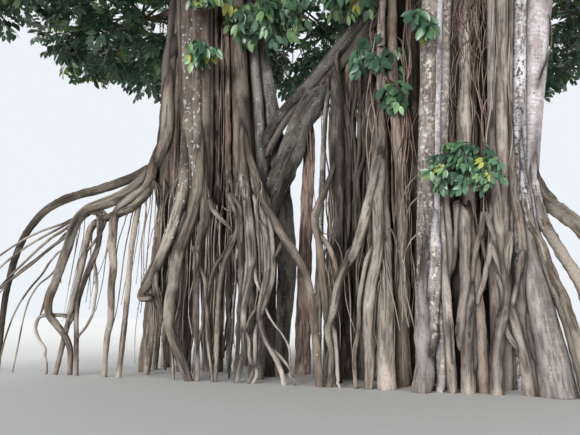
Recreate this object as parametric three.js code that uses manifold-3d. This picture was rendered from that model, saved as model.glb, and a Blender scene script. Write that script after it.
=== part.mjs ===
// A banyan: two clumps of fused stems joined by a leaning stem, with roots that drape
// to level ground, prop stems, spreading boughs and a domed crown of leaf masses.
// Millimetres, +Z up. The origin is on the ground at the middle of the main trunk,
// +X runs along the roadside face of the tree and +Y runs away from it.
import * as THREE from "three";
import { mergeVertices } from "three/addons/utils/BufferGeometryUtils.js";
import Module from "manifold-3d";

const wasm = await Module();
wasm.setup();
const { Manifold } = wasm;

// Clearances and fineness
const GAP = 0.45; // clear space between touching pieces
const SPECK = 0.5; // faces with a smaller area than this have no say in a clearance
const FINE = 25; // detail smaller than this is smoothed out of a limb
const TIDY = 0.05; // the same for a limb that is cut already
const NEAR = 0.12; // corners closer together than this are made one
const WELD = 1e-3;
const STEM_SIDES = 6;
const PROP_SIDES = 7;
const RINGS_PER_POINT = 1.3; // rings of corners on a limb for each point of its route
const STEM_RINGS = [0, 0.08, 0.32, 0.62, 1];
const CORE_RINGS = [0, 0.08, 0.5, 1];
const BOUGH_RINGS = 4;

// Driving sizes of the two trunks
const SUNK = 60; // how far a foot runs on below the ground before it is cut flat
const FORK_Z = 6000; // height where the stems of both trunks part into boughs
const SKIRT_Z = 2350; // height of the left trunk's foot above the ground
const FLARE = 0.3; // share of a stem's length over which its foot's flare dies away
const LEAN = 0.25; // share of its lean that a stem has made by mid height
const ROUND = { share: 0.08, end: 0.5 }; // how the left trunk's underside is rounded

// Hanging roots lie on a face that leans back and turns away to the left.
const DRAPE = { x: -1030, y: -1060, perX: -0.355, perZ: 0.15 };

// Stems of the main trunk: foot and head on the plan, radius at foot and head
const MAIN_STEMS = {
  pale_left: { foot: [-960, -770], head: [-640, -740], radius: [170, 140] },
  pale_right: { foot: [-850, -740], head: [-500, -700], radius: [150, 125] },
  red_core: { foot: [-430, -560], head: [-90, -520], radius: [190, 120] },
  slim_a: { foot: [-190, -840], head: [140, -790], radius: [75, 55] },
  slim_b: { foot: [-90, -860], head: [250, -780], radius: [80, 58] },
  slim_c: { foot: [40, -820], head: [370, -740], radius: [80, 55] },
  white_left: { foot: [120, -830], head: [520, -720], radius: [120, 92] },
  white_right: { foot: [300, -760], head: [880, -560], radius: [230, 165] },
  dark_left: { foot: [-980, -200], head: [-760, 20], radius: [150, 115] },
};

// Stems inside and behind the main clump
const MAIN_CORES = {
  core: { foot: [-60, 0], head: [60, 20], radius: [660, 470] },
  core_left: { foot: [-640, -460], head: [-400, -430], radius: [380, 320] },
  wall_left: { foot: [-700, -60], head: [-480, -40], radius: [330, 270] },
  core_right: { foot: [210, -420], head: [480, -330], radius: [400, 330] },
  left_back: { foot: [-660, 520], head: [-620, 600], radius: [330, 250] },
  right_back: { foot: [600, 330], head: [760, 420], radius: [340, 250] },
  back: { foot: [60, 800], head: [160, 820], radius: [350, 260] },
};

// Stems of the left trunk, from its root skirt up to the fork
const LEFT_STEMS = {
  outer: { foot: [-4790, 860], head: [-4540, 900], radius: [150, 85] },
  front_left: { foot: [-4080, 520], head: [-4190, 560], radius: [125, 140] },
  front_right: { foot: [-3890, 560], head: [-3990, 610], radius: [110, 115] },
  right: { foot: [-3310, 760], head: [-3490, 810], radius: [165, 130] },
  grey: { foot: [-3000, 900], head: [-3310, 1000], radius: [125, 85] },
  buttress: { foot: [-2700, 1050], head: [-3270, 1120], radius: [180, 110] },
};

// Stems inside and behind the left clump
const LEFT_CORES = {
  core: { foot: [-3860, 1180], head: [-3900, 1160], radius: [560, 480] },
  core_front: { foot: [-3990, 740], head: [-4060, 760], radius: [210, 190] },
  core_left: { foot: [-4500, 1080], head: [-4380, 1040], radius: [290, 220] },
  core_right: { foot: [-3260, 1180], head: [-3480, 1150], radius: [360, 280] },
  back: { foot: [-3650, 1850], head: [-3720, 1700], radius: [320, 240] },
  back_left: { foot: [-4400, 1560], head: [-4320, 1480], radius: [280, 210] },
  back_right: { foot: [-3060, 1600], head: [-3330, 1480], radius: [280, 190] },
};

// Routes below are [x, y, z], or [x, z] where the root lies on the draped face.
// Roots fused to the main trunk's face
const MAIN_ROOTS = {
  tan: {
    route: [[-70, -820, 2700], [-140, -1090, 1720], [-150, -1190, 1060], [-290, -1230, 560], [-350, -1270, 0]],
    radius: [50, 78],
  },
  tan_fork: { route: [[-150, -1150, 1150], [-60, -1290, 600], [10, -1350, 0]], radius: [60, 80] },
  crossing: {
    route: [[130, -850, 2500], [90, -1160, 1600], [-10, -1240, 1080], [60, -1390, 0]],
    radius: [48, 60],
  },
  leg: { route: [[0, -1220, 1050], [70, -1370, 480], [190, -1480, 0]], radius: [52, 60] },
  buttress: {
    route: [[470, -760, 2500], [330, -1170, 1500], [270, -1310, 800], [280, -1420, 0]],
    radius: [110, 215],
  },
  right_edge: {
    route: [[420, -820, 2100], [390, -1290, 1350], [420, -1420, 900], [490, -1540, 0]],
    radius: [50, 60],
  },
  pleat_a: {
    route: [[-560, -640, 2600], [-510, -1000, 1300], [-600, -1130, 500], [-640, -1180, 0]],
    radius: [62, 80],
  },
  pleat_b: { route: [[-400, -640, 2600], [-420, -1000, 1300], [-440, -1120, 0]], radius: [58, 75] },
  pleat_c: { route: [[-740, -820, 1900], [-780, -1030, 1000], [-790, -1130, 0]], radius: [48, 62] },
  toe_left: { route: [[-960, -820, 1300], [-1040, -980, 600], [-1120, -1080, 0]], radius: [90, 110] },
};

// Roots that hang from the left trunk's foot, fused to it
const LEFT_ROOTS = {
  curtain_a: {
    route: [[-3320, 560, 2950], [-3170, 2200], [-3110, 1500], [-3210, 850], [-3190, 400], [-3300, 0]],
    radius: [95, 34],
  },
  curtain_b: {
    route: [[-3190, 690, 2950], [-2950, 2130], [-2900, 1450], [-2990, 750], [-2720, 200], [-2660, 0]],
    radius: [80, 32],
  },
  curtain_c: { route: [[-3380, 560, 2800], [-3280, 2110], [-3250, 1330], [-3290, 0]], radius: [60, 22] },
  curtain_d: { route: [[-3420, 560, 2700], [-3300, 2060], [-3520, 1450], [-3560, 0]], radius: [50, 24] },
  short_leg: { route: [[-3860, 480, 2780], [-3820, 240, 2150], [-3890, 1700], [-3800, 0]], radius: [70, 30] },
  inner_a: { route: [[-3790, 1200, 2800], [-3780, 1150, 1200], [-3760, 1120, 0]], radius: [230, 150] },
  inner_b: { route: [[-4190, 1150, 2800], [-4230, 1200, 1200], [-4210, 1180, 0]], radius: [170, 115] },
};

// Roots of the skirt's sides and back, set round the left trunk between two bearings in degrees
const SKIRT = {
  count: 5,
  from: 10,
  to: 190,
  x: -3830,
  y: 1300,
  levels: [[420, 3100], [700, 2400], [880, 1300], [980, 0]], // distance out and height
  radius: [150, 85],
};

// Draped roots that are pieces of their own
const FREE_ROOTS = {
  sweeping_root: {
    route: [[-4770, 820, 3350], [-5180, 740, 2680], [-5700, 880, 2430], [-5990, 930, 2150],
      [-6110, 890, 1400], [-6190, 850, 1000], [-5960, 740, 640], [-5800, 640, 0]],
    radius: [125, 52],
  },
  elbow_root: {
    route: [[-4120, 500, 2900], [-4230, 380, 2260], [-4310, 330, 1930], [-4470, 1600], [-4600, 1260],
      [-4700, 1070]],
    radius: [110, 75],
  },
  long_root: {
    route: [[-3900, 480, 2950], [-4020, 2200], [-4150, 1850], [-4230, 1200], [-4260, 810], [-4110, 370],
      [-3890, 0]],
    radius: [105, 62],
  },
  slim_root_a: {
    route: [[-5540, 860, 2500], [-5500, 1950], [-5640, 1300], [-5740, 800], [-5600, 0]],
    radius: [42, 34],
  },
  slim_root_b: { route: [[-4860, 840, 2750], [-4920, 1800], [-4920, 1050], [-4950, 0]], radius: [45, 38] },
  diagonal_root: {
    route: [[-3110, 560, 2900], [-2940, 2350], [-2730, 1940], [-2400, 1360], [-2230, 0]],
    radius: [62, 50],
  },
  side_root_high: {
    route: [[560, -620, 2350], [650, -1380, 1810], [930, -1600, 1150], [1120, -1760, 0]],
    radius: [95, 75],
  },
  side_root_low: {
    route: [[470, -800, 2050], [440, -1290, 1600], [590, -1450, 1150], [760, -1640, 0]],
    radius: [70, 62],
  },
};

// Prop stems between the ground and the leaning stem
const PROP_STEMS = {
  prop_a: {
    route: [[-2240, 260, 0], [-2160, 380, 2200], [-2100, 400, 3400], [-2010, 440, 4520]],
    radius: [60, 34],
  },
  prop_b: {
    route: [[-2080, -260, 0], [-1990, -20, 1600], [-1930, 100, 3280], [-1900, 300, 4600]],
    radius: [130, 84],
  },
  prop_c: { route: [[-1860, 300, 0], [-1740, 400, 2490], [-1680, 420, 4900]], radius: [140, 85] },
  prop_d: { route: [[-1540, 120, 0], [-1470, 280, 2470], [-1380, 260, 5260]], radius: [160, 100] },
  prop_e: {
    route: [[-1490, -860, 0], [-1400, -520, 1500], [-1370, -300, 3170], [-1300, -180, 5000], [-1190, 90, 5560]],
    radius: [110, 48],
  },
  prop_f: {
    route: [[-1250, -560, 0], [-1120, -330, 2460], [-1180, -280, 4030], [-1080, 40, 5680]],
    radius: [105, 66],
  },
};
const LEANING_STEM = {
  route: [[-3000, 900, 3500], [-2680, 780, 3950], [-2300, 620, 4290], [-1910, 450, 4690],
    [-1490, 280, 5200], [-1100, 130, 5700], [-640, 20, 6350]],
  radius: [125, 165],
};
const ARCHED_STEM = {
  route: [[-3060, 120, 0], [-3000, 420, 1700], [-2940, 560, 2450], [-2720, 600, 3000],
    [-2450, 590, 3650], [-2060, 520, 4480]],
  radius: [150, 135],
};

// Crown: rings of leaf masses, each in its own ellipsoid. turn is the first mass's bearing
// in degrees, spread the ring's half width and half depth, size a mass's half sizes.
const CROWN = { x: -1700, y: 500, seed: 11, sway: 250 };
const RINGS = {
  outer: { count: 9, turn: 10, spread: [7300, 6500], z: 8300, size: [2900, 2900, 2150] },
  middle: { count: 6, turn: 30, spread: [4300, 3900], z: 11100, size: [2750, 2750, 1950] },
  top: { count: 3, turn: 60, spread: [1700, 1600], z: 13500, size: [2450, 2450, 1800] },
};

// Boughs: the stem that carries each outer and top one, and the outer one that carries each middle one
const OUTER_FROM = [
  "main right_back", "main back", "main left_back", "left back", "left back_left",
  "left core_left", "left front_left", "main pale_left", "main white_right",
];
const TOP_FROM = ["main core", "left core", "main core_right"];
const MIDDLE_FROM = [1, 3, 5, 6, 7, 9];
const BOUGH = { sides: 6, start: 0.92, thickest: 260, tip: 60, enter: 0.7, ease: 0.3 };
const BRANCH = { at: 0.34, taper: 0.72, rise: 0.9, tip: 54 };
const LIFT = { outer: 0.1, middle: 0.05, top: 0.2 };

// Twigs and leaves of a mass; each leaf stands for a spray
const MASS = {
  twigs: { stem: 46, primary: 36, tip: 24, count: 6 },
  leaf: { length: 1700, width: 1150, thick: 34 },
  leaves: 12,
  wall: 15, // clear space kept inside the planes shared with its neighbours
};
const GROWTH = {
  heart: -0.1, // height of the twigs' meeting point, as a share of the mass's half height
  twigReach: 0.62,
  golden: 2.39996,
  topmost: 0.85,
  lowest: 1.6,
  leafFrom: 0.45,
  leafTo: 0.98,
  wander: 2.2,
  lengths: [0.85, 1.15],
  choices: 14,
  patience: 6,
};

// Small leafy shoots on the stems, each reaching over a space of its own
const SHOOT = {
  twigs: { stem: 9, primary: 7, tip: 5, count: 3 },
  leaf: { length: 170, width: 84, thick: 8 },
};
const SHOOTS = {
  shoot_left: {
    on: "left_trunk", from: [-3990, 570, 4890], centre: [-4000, 130, 4680], size: [330, 230, 210], leaves: 5,
  },
  shoot_bough: {
    on: "leaning_stem", from: [-1560, 290, 5050], centre: [-1520, -130, 4420], size: [270, 200, 330], leaves: 5,
  },
  shoot_prop: {
    on: "prop_e", from: [-1330, -250, 4060], centre: [-1180, -500, 3700], size: [150, 130, 170], leaves: 4,
  },
  shoot_pale: {
    on: "main_trunk", from: [-710, -800, 4640], centre: [-720, -1130, 4500], size: [190, 150, 170], leaves: 5,
  },
  shoot_right: {
    on: "main_trunk", from: [-80, -815, 2700], centre: [-380, -1240, 2650], size: [430, 240, 330], leaves: 7,
  },
};

const COLOURS = { bark: 0x8a7763, pale: 0xa3937f, root: 0x8f7e69, bough: 0x7d6c5a, leaf: 0x2f5a2b };
const BARK_ROUGHNESS = 0.9;
const LEAF_ROUGHNESS = 0.55;

const UP = new THREE.Vector3(0, 1, 0);
const ALONG = new THREE.Vector3(1, 0, 0);
const { degToRad } = THREE.MathUtils;

// Seeded numbers from 0 to 1
function seeded(seed) {
  let state = seed >>> 0;
  return () => {
    state = (state + 0x6d2b79f5) >>> 0;
    let t = state;
    t = Math.imul(t ^ (t >>> 15), t | 1);
    t ^= t + Math.imul(t ^ (t >>> 7), t | 61);
    return ((t ^ (t >>> 14)) >>> 0) / 4294967296;
  };
}

function solidOf(geometry) {
  const bare = geometry.clone();
  bare.deleteAttribute("normal");
  bare.deleteAttribute("uv");
  const merged = mergeVertices(bare, WELD);
  const vertProperties = new Float32Array(merged.attributes.position.array);
  const triVerts = new Uint32Array(merged.index.array);
  return new Manifold(new wasm.Mesh({ numProp: 3, vertProperties, triVerts }));
}

function geometryOf(solid) {
  const mesh = solid.getMesh();
  const places = new Float32Array(mesh.vertProperties);
  const geometry = new THREE.BufferGeometry();
  geometry.setAttribute("position", new THREE.BufferAttribute(places, 3));
  geometry.setIndex(new THREE.BufferAttribute(mesh.triVerts, 1));
  geometry.computeVertexNormals();
  return geometry;
}

// A tapered limb: a closed cylinder bent along a curve, its radius given along its length.
// rings holds the shares of the length at which it has a ring of corners.
function limbSolid({ curve, radiusAt, sides, rings }) {
  const steps = rings.length - 1;
  const geometry = new THREE.CylinderGeometry(1, 1, 1, sides, steps);
  const frames = curve.computeFrenetFrames(steps, false);
  const place = geometry.attributes.position;
  for (let i = 0; i < place.count; i++) {
    const ring = Math.round((0.5 - place.getY(i)) * steps);
    const out = radiusAt(rings[ring]);
    const at = curve.getPointAt(rings[ring]);
    at.addScaledVector(frames.normals[ring], place.getX(i) * out);
    at.addScaledVector(frames.binormals[ring], place.getZ(i) * out);
    place.setXYZ(i, at.x, at.y, at.z);
  }
  return solidOf(geometry);
}

const evenRings = (steps) => Array.from({ length: steps + 1 }, (_, i) => i / steps);
const mix = (a, b, share) => a + (b - a) * share;
const taper = ([from, to]) => (t) => mix(from, to, t);
const flared = ([foot, head]) => (t) => mix(head, foot, Math.exp(-t / FLARE));
const rounding = (t) => (t < ROUND.share ? mix(ROUND.end, 1, Math.sqrt(t / ROUND.share)) : 1);
const point = ([x, y, z]) => new THREE.Vector3(x, y, z);

function stemLimb({ foot, head, radius }, low, rings) {
  const middle = new THREE.Vector3(
    mix(foot[0], head[0], LEAN),
    mix(foot[1], head[1], LEAN),
    mix(low, FORK_Z, 0.5),
  );
  const start = new THREE.Vector3(...foot, low);
  const end = new THREE.Vector3(...head, FORK_Z);
  const curve = new THREE.QuadraticBezierCurve3(start, middle, end);
  const full = flared(radius);
  const radiusAt = low > 0 ? (t) => full(t) * rounding(t) : full;
  return { curve, radiusAt, sides: STEM_SIDES, rings };
}

// A point of a route, set on the draped face where it has no y, and sunk where it is on the ground
function routePoint(place) {
  const [x, z] = [place[0], place[place.length - 1]];
  const onFace = DRAPE.y + DRAPE.perX * (x - DRAPE.x) + DRAPE.perZ * z;
  const y = place.length === 3 ? place[1] : onFace;
  return new THREE.Vector3(x, y, z === 0 ? -SUNK : z);
}

function routeLimb({ route, radius }, sides = STEM_SIDES) {
  const curve = new THREE.CatmullRomCurve3(route.map(routePoint), false, "centripetal");
  const rings = evenRings(Math.round(route.length * RINGS_PER_POINT));
  return { curve, radiusAt: taper(radius), sides, rings };
}

// The move that carries a corner outwards by at least GAP from each face that meets there
function outwardMove(normals) {
  const move = new THREE.Vector3();
  for (let pass = 0; pass < 12; pass++)
    for (const normal of normals) move.addScaledVector(normal, Math.max(0, GAP - normal.dot(move)));
  return move.clampLength(0, 4 * GAP);
}

// The same solid with its skin moved outwards, used to cut its neighbours clear of it
function swollen(solid) {
  const geometry = geometryOf(solid);
  const { position } = geometry.attributes;
  const index = geometry.index.array;
  const normals = Array.from({ length: position.count }, () => []);
  const face = new THREE.Triangle();
  for (let i = 0; i < index.length; i += 3) {
    const corners = index.slice(i, i + 3);
    face.setFromAttributeAndIndices(position, ...corners);
    if (face.getArea() < SPECK) continue;
    const normal = face.getNormal(new THREE.Vector3());
    for (const corner of corners) normals[corner].push(normal);
  }
  for (let i = 0; i < position.count; i++) {
    const moved = new THREE.Vector3().fromBufferAttribute(position, i).add(outwardMove(normals[i]));
    position.setXYZ(i, moved.x, moved.y, moved.z);
  }
  return solidOf(geometry);
}

const largest = (solid) => solid.decompose().reduce((a, b) => (a.volume() > b.volume() ? a : b));

function cornersOf(geometry) {
  const place = geometry.attributes.position;
  return Array.from({ length: place.count }, (_, i) => new THREE.Vector3().fromBufferAttribute(place, i));
}

// The same solid with corners that nearly touch made one, which drops the slivers between them
function welded(solid) {
  const geometry = geometryOf(solid);
  const corners = cornersOf(geometry);
  const first = corners.map((corner) => corners.findIndex((other) => other.distanceTo(corner) < NEAR));
  const index = geometry.index.array;
  const kept = [];
  for (let i = 0; i < index.length; i += 3) {
    const face = [first[index[i]], first[index[i + 1]], first[index[i + 2]]];
    if (new Set(face).size === 3) kept.push(...face);
  }
  geometry.setIndex(kept);
  return solidOf(geometry).simplify(TIDY);
}

function boxesMeet(a, b) {
  const p = a.boundingBox();
  const q = b.boundingBox();
  return [0, 1, 2].every((i) => p.min[i] < q.max[i] && q.min[i] < p.max[i]);
}

// Every limb in order; a later one is cut clear of the earlier ones that it meets.
const limbs = [];
function addLimb(name, parts, colour) {
  let solid = Manifold.union(parts.map(limbSolid)).trimByPlane([0, 0, 1], 0).simplify(FINE);
  for (const other of limbs) if (boxesMeet(solid, other.clear)) solid = solid.subtract(other.clear);
  solid = welded(largest(solid).simplify(TIDY));
  const limb = { name, solid, clear: swollen(solid), part: parts[0], colour };
  limbs.push(limb);
  return limb;
}

// The two trunks
function stemsOf(table, low, rings) {
  const entries = Object.entries(table);
  return Object.fromEntries(entries.map(([name, stem]) => [name, stemLimb(stem, low, rings)]));
}
const trunks = {
  main: { ...stemsOf(MAIN_STEMS, -SUNK, STEM_RINGS), ...stemsOf(MAIN_CORES, -SUNK, CORE_RINGS) },
  left: { ...stemsOf(LEFT_STEMS, SKIRT_Z, STEM_RINGS), ...stemsOf(LEFT_CORES, SKIRT_Z, CORE_RINGS) },
};
function skirtRoot(i) {
  const turn = degToRad(mix(SKIRT.from, SKIRT.to, i / (SKIRT.count - 1)));
  const level = ([out, z]) => [SKIRT.x + out * Math.cos(turn), SKIRT.y + out * Math.sin(turn), z];
  return routeLimb({ route: SKIRT.levels.map(level), radius: SKIRT.radius });
}
const rootsOf = (table) => Object.values(table).map((root) => routeLimb(root));
const skirtRoots = Array.from({ length: SKIRT.count }, (_, i) => skirtRoot(i));
addLimb("main_trunk", [...Object.values(trunks.main), ...rootsOf(MAIN_ROOTS)], COLOURS.bark);
addLimb("left_trunk", [...Object.values(trunks.left), ...rootsOf(LEFT_ROOTS), ...skirtRoots], COLOURS.bark);

// Stems and roots that stand free
addLimb("leaning_stem", [routeLimb(LEANING_STEM)], COLOURS.bough);
addLimb("arched_stem", [routeLimb(ARCHED_STEM)], COLOURS.bark);
for (const [name, stem] of Object.entries(PROP_STEMS))
  addLimb(name, [routeLimb(stem, PROP_SIDES)], COLOURS.pale);
for (const [name, root] of Object.entries(FREE_ROOTS)) addLimb(name, [routeLimb(root)], COLOURS.root);

// The crown's spaces: an ellipsoid round each centre, shared with its neighbours by nearness
function inEllipsoid(p, centre, [a, b, c]) {
  const d = p.clone().sub(centre);
  return (d.x / a) ** 2 + (d.y / b) ** 2 + (d.z / c) ** 2 < 1;
}
function reachIn({ centre, size: [a, b, c] }, way, share) {
  return centre.clone().add(new THREE.Vector3(way.x * a, way.y * b, way.z * c).multiplyScalar(share));
}
function spacesOf(ring) {
  const { count, turn: first, spread, z, size } = RINGS[ring];
  return Array.from({ length: count }, (_, i) => {
    const turn = degToRad(first + (360 * i) / count);
    const centre = new THREE.Vector3(
      CROWN.x + spread[0] * Math.cos(turn),
      CROWN.y + spread[1] * Math.sin(turn),
      z + CROWN.sway * Math.sin(3 * turn + count),
    );
    return { ring, name: `${ring}_leaves_${i + 1}`, centre, size };
  });
}
const spaces = Object.fromEntries(Object.keys(RINGS).map((ring) => [ring, spacesOf(ring)]));
const allSpaces = Object.values(spaces).flat();
function inSpace(space, p) {
  if (!inEllipsoid(p, space.centre, space.size)) return false;
  return allSpaces.every((other) => {
    if (other === space) return true;
    const apart = other.centre.clone().sub(space.centre);
    const wall = space.centre.clone().addScaledVector(apart, 0.5);
    return p.clone().sub(wall).dot(apart.normalize()) < -MASS.wall;
  });
}

// A bough leaves along the line of what carries it, then bends to enter its mass.
function boughCurve(start, heading, space) {
  const inward = start.clone().sub(space.centre);
  const [a, b, c] = space.size;
  const depth = Math.hypot(inward.x / a, inward.y / b, inward.z / c);
  const end = space.centre.clone().addScaledVector(inward, BOUGH.enter / depth);
  const span = start.distanceTo(end);
  const outward = space.centre.clone().sub(start).setZ(0).normalize();
  const leaving = start.clone().addScaledVector(heading, span * BOUGH.ease);
  const entering = end.clone().addScaledVector(outward, -span * BOUGH.ease);
  entering.z -= span * LIFT[space.ring];
  return new THREE.CubicBezierCurve3(start, leaving, entering, end);
}
function addBough(index, start, heading, space, thick, thin) {
  const curve = boughCurve(start.clone().addScaledVector(heading, GAP), heading, space);
  const radiusAt = (t) => mix(thick, thin, Math.sqrt(t));
  const part = { curve, radiusAt, sides: BOUGH.sides, rings: evenRings(BOUGH_RINGS) };
  space.bough = addLimb(`${space.ring}_bough_${index + 1}`, [part], COLOURS.bough);
}
function addBoughOnStem(space, index, where) {
  const [trunk, name] = where.split(" ");
  const stem = trunks[trunk][name];
  const thick = Math.min(stem.radiusAt(1) * BOUGH.start, BOUGH.thickest);
  addBough(index, stem.curve.getPointAt(1), stem.curve.getTangentAt(1), space, thick, BOUGH.tip);
}
function addBranch(space, index, carrier) {
  const { curve, radiusAt } = spaces.outer[carrier - 1].bough.part;
  const heading = curve.getTangentAt(BRANCH.at);
  heading.z += BRANCH.rise;
  const thick = radiusAt(BRANCH.at) * BRANCH.taper;
  addBough(index, curve.getPointAt(BRANCH.at), heading.normalize(), space, thick, BRANCH.tip);
}
spaces.outer.forEach((space, i) => addBoughOnStem(space, i, OUTER_FROM[i]));
spaces.top.forEach((space, i) => addBoughOnStem(space, i, TOP_FROM[i]));
spaces.middle.forEach((space, i) => addBranch(space, i, MIDDLE_FROM[i]));

// A three-sided twig between two points
function twigSolid(from, to, r0, r1) {
  const geometry = new THREE.CylinderGeometry(r1, r0, from.distanceTo(to), 3, 1);
  const line = to.clone().sub(from).normalize();
  const middle = from.clone().lerp(to, 0.5);
  geometry.applyQuaternion(new THREE.Quaternion().setFromUnitVectors(UP, line));
  geometry.translate(middle.x, middle.y, middle.z);
  return solidOf(geometry).simplify(TIDY);
}

// A leaf of eight faces, its root at one point and its tip at another
function leafGeometry(root, tip, leaf, roll) {
  const geometry = new THREE.OctahedronGeometry(1, 0);
  const line = tip.clone().sub(root);
  const middle = root.clone().lerp(tip, 0.5);
  geometry.scale(line.length() / 2, leaf.width / 2, leaf.thick / 2);
  geometry.rotateX(roll);
  geometry.applyQuaternion(new THREE.Quaternion().setFromUnitVectors(ALONG, line.normalize()));
  geometry.translate(middle.x, middle.y, middle.z);
  return geometry;
}
const clearOf = (solid, others) =>
  others.every((other) => !boxesMeet(solid, other) || solid.intersect(other).isEmpty());
const wood = limbs.map((limb) => limb.clear);

function growTwigs(stem, mass, random) {
  const { space, twigs } = mass;
  const grown = [];
  for (let i = 0; i < twigs.count; i++) {
    const up = GROWTH.topmost - (GROWTH.lowest * (i + 0.5)) / twigs.count;
    const turn = i * GROWTH.golden + 0.6 * random();
    const flat = Math.sqrt(1 - up * up);
    const way = new THREE.Vector3(flat * Math.cos(turn), flat * Math.sin(turn), up);
    const a = stem.a.clone().lerp(stem.b, 0.97 - (0.4 * i) / twigs.count);
    const b = reachIn(space, way, GROWTH.twigReach);
    const solid = twigSolid(a, b, twigs.primary * 0.8, twigs.tip);
    const others = grown.map((twig) => twig.solid);
    if (mass.holds(b) && clearOf(solid, others) && clearOf(solid, wood)) grown.push({ a, b, solid });
  }
  return grown;
}

function randomWay(random, size) {
  return new THREE.Vector3(random() - 0.5, random() - 0.5, random() - 0.5).multiplyScalar(size);
}

// A leaf that would sit on a twig chosen by chance, or null where it would leave the space
function leafChoice(twigs, heart, mass, random) {
  const twig = twigs[Math.floor(random() * twigs.length)];
  const root = twig.a.clone().lerp(twig.b, mix(GROWTH.leafFrom, GROWTH.leafTo, random()));
  const way = root.clone().sub(heart).normalize().add(randomWay(random, GROWTH.wander)).normalize();
  const tip = root.clone().addScaledVector(way, mass.leaf.length * mix(...GROWTH.lengths, random()));
  const geometry = leafGeometry(root, tip, mass.leaf, random() * Math.PI);
  return cornersOf(geometry).every(mass.holds) ? { geometry, tip, twig } : null;
}

// Leaves set one by one, each the loneliest of several choices, touching only its own twig
function growLeaves(stem, twigs, mass, random) {
  const leaves = [];
  const lone = (leaf) => Math.min(Infinity, ...leaves.map((other) => other.tip.distanceTo(leaf.tip)));
  for (let tries = 0; tries < mass.leaves * GROWTH.patience && leaves.length < mass.leaves; tries++) {
    const choices = Array.from({ length: GROWTH.choices }, () => leafChoice(twigs, stem.b, mass, random));
    const fitting = choices.filter((leaf) => leaf !== null);
    if (fitting.length === 0) continue;
    const best = fitting.reduce((a, b) => (lone(a) > lone(b) ? a : b));
    best.solid = solidOf(best.geometry);
    const others = [stem, ...twigs, ...leaves].filter((part) => part !== best.twig);
    if (clearOf(best.solid, others.map((part) => part.solid)) && clearOf(best.solid, wood)) leaves.push(best);
  }
  return leaves;
}

// Twigs that branch from one stem, with leaves fused on, kept inside one space
function growMass(mass, random) {
  const { space, twigs, carrier, from, heading } = mass;
  const a = from.clone().addScaledVector(heading, -twigs.stem);
  const b = reachIn(space, new THREE.Vector3(0, 0, GROWTH.heart), 1);
  const solid = largest(twigSolid(a, b, twigs.stem, twigs.primary).subtract(carrier.clear));
  const stem = { a, b, solid };
  const grown = growTwigs(stem, mass, random);
  const leaves = growLeaves(stem, grown, mass, random);
  return welded(largest(Manifold.union([stem, ...grown, ...leaves].map((part) => part.solid))));
}

const banyan = new THREE.Group();
function addMesh(name, solid, color, roughness) {
  const material = new THREE.MeshStandardMaterial({ color, roughness, metalness: 0 });
  const mesh = new THREE.Mesh(geometryOf(solid), material);
  mesh.name = name;
  banyan.add(mesh);
}
for (const limb of limbs) addMesh(limb.name, limb.solid, limb.colour, BARK_ROUGHNESS);

const random = seeded(CROWN.seed);
for (const space of allSpaces) {
  const { curve } = space.bough.part;
  const [from, heading] = [curve.getPointAt(1), curve.getTangentAt(1)];
  const mass = { ...MASS, space, carrier: space.bough, from, heading, holds: (p) => inSpace(space, p) };
  addMesh(space.name, growMass(mass, random), COLOURS.leaf, LEAF_ROUGHNESS);
}
for (const [name, shoot] of Object.entries(SHOOTS)) {
  const space = { centre: point(shoot.centre), size: shoot.size };
  const from = point(shoot.from);
  const heading = space.centre.clone().sub(from).normalize();
  const carrier = limbs.find((limb) => limb.name === shoot.on);
  const holds = (p) => inEllipsoid(p, space.centre, space.size);
  const mass = { ...SHOOT, leaves: shoot.leaves, space, carrier, from, heading, holds };
  addMesh(name, growMass(mass, random), COLOURS.leaf, LEAF_ROUGHNESS);
}

export default banyan;
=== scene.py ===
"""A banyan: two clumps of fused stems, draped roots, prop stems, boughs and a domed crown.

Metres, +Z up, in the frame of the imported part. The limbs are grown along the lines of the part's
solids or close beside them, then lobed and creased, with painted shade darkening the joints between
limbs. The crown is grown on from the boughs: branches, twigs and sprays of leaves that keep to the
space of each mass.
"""
import logging
import math
from dataclasses import dataclass, field, replace
from enum import Enum
from typing import Callable, Sequence

import bmesh
import bpy
import numpy as np
from mathutils import Matrix, Vector


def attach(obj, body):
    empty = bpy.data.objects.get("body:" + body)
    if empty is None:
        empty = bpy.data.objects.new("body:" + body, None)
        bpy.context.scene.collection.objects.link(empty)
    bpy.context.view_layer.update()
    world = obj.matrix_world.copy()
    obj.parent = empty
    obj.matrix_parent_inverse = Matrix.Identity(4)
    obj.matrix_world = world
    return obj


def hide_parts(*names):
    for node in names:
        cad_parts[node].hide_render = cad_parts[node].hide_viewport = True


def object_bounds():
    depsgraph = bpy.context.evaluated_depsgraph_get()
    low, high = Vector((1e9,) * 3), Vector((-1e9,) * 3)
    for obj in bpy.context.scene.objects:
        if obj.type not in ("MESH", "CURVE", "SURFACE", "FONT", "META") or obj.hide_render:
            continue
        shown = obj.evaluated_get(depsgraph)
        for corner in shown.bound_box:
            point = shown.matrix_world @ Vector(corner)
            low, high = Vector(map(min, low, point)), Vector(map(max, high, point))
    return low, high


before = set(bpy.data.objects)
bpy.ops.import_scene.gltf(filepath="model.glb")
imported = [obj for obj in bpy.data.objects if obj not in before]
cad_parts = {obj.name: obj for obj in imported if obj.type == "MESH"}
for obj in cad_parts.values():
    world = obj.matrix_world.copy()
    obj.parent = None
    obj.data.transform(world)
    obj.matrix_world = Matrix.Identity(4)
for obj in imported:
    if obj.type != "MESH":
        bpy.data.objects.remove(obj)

LOG = logging.getLogger("banyan")
CAD_BOX = [[float(v) for v in corner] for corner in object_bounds()]
TAU = 2 * math.pi
GOLDEN = 2.39996  # turn from one main branch of a mass to the next
UP = np.array([0.0, 0.0, 1.0])

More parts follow.
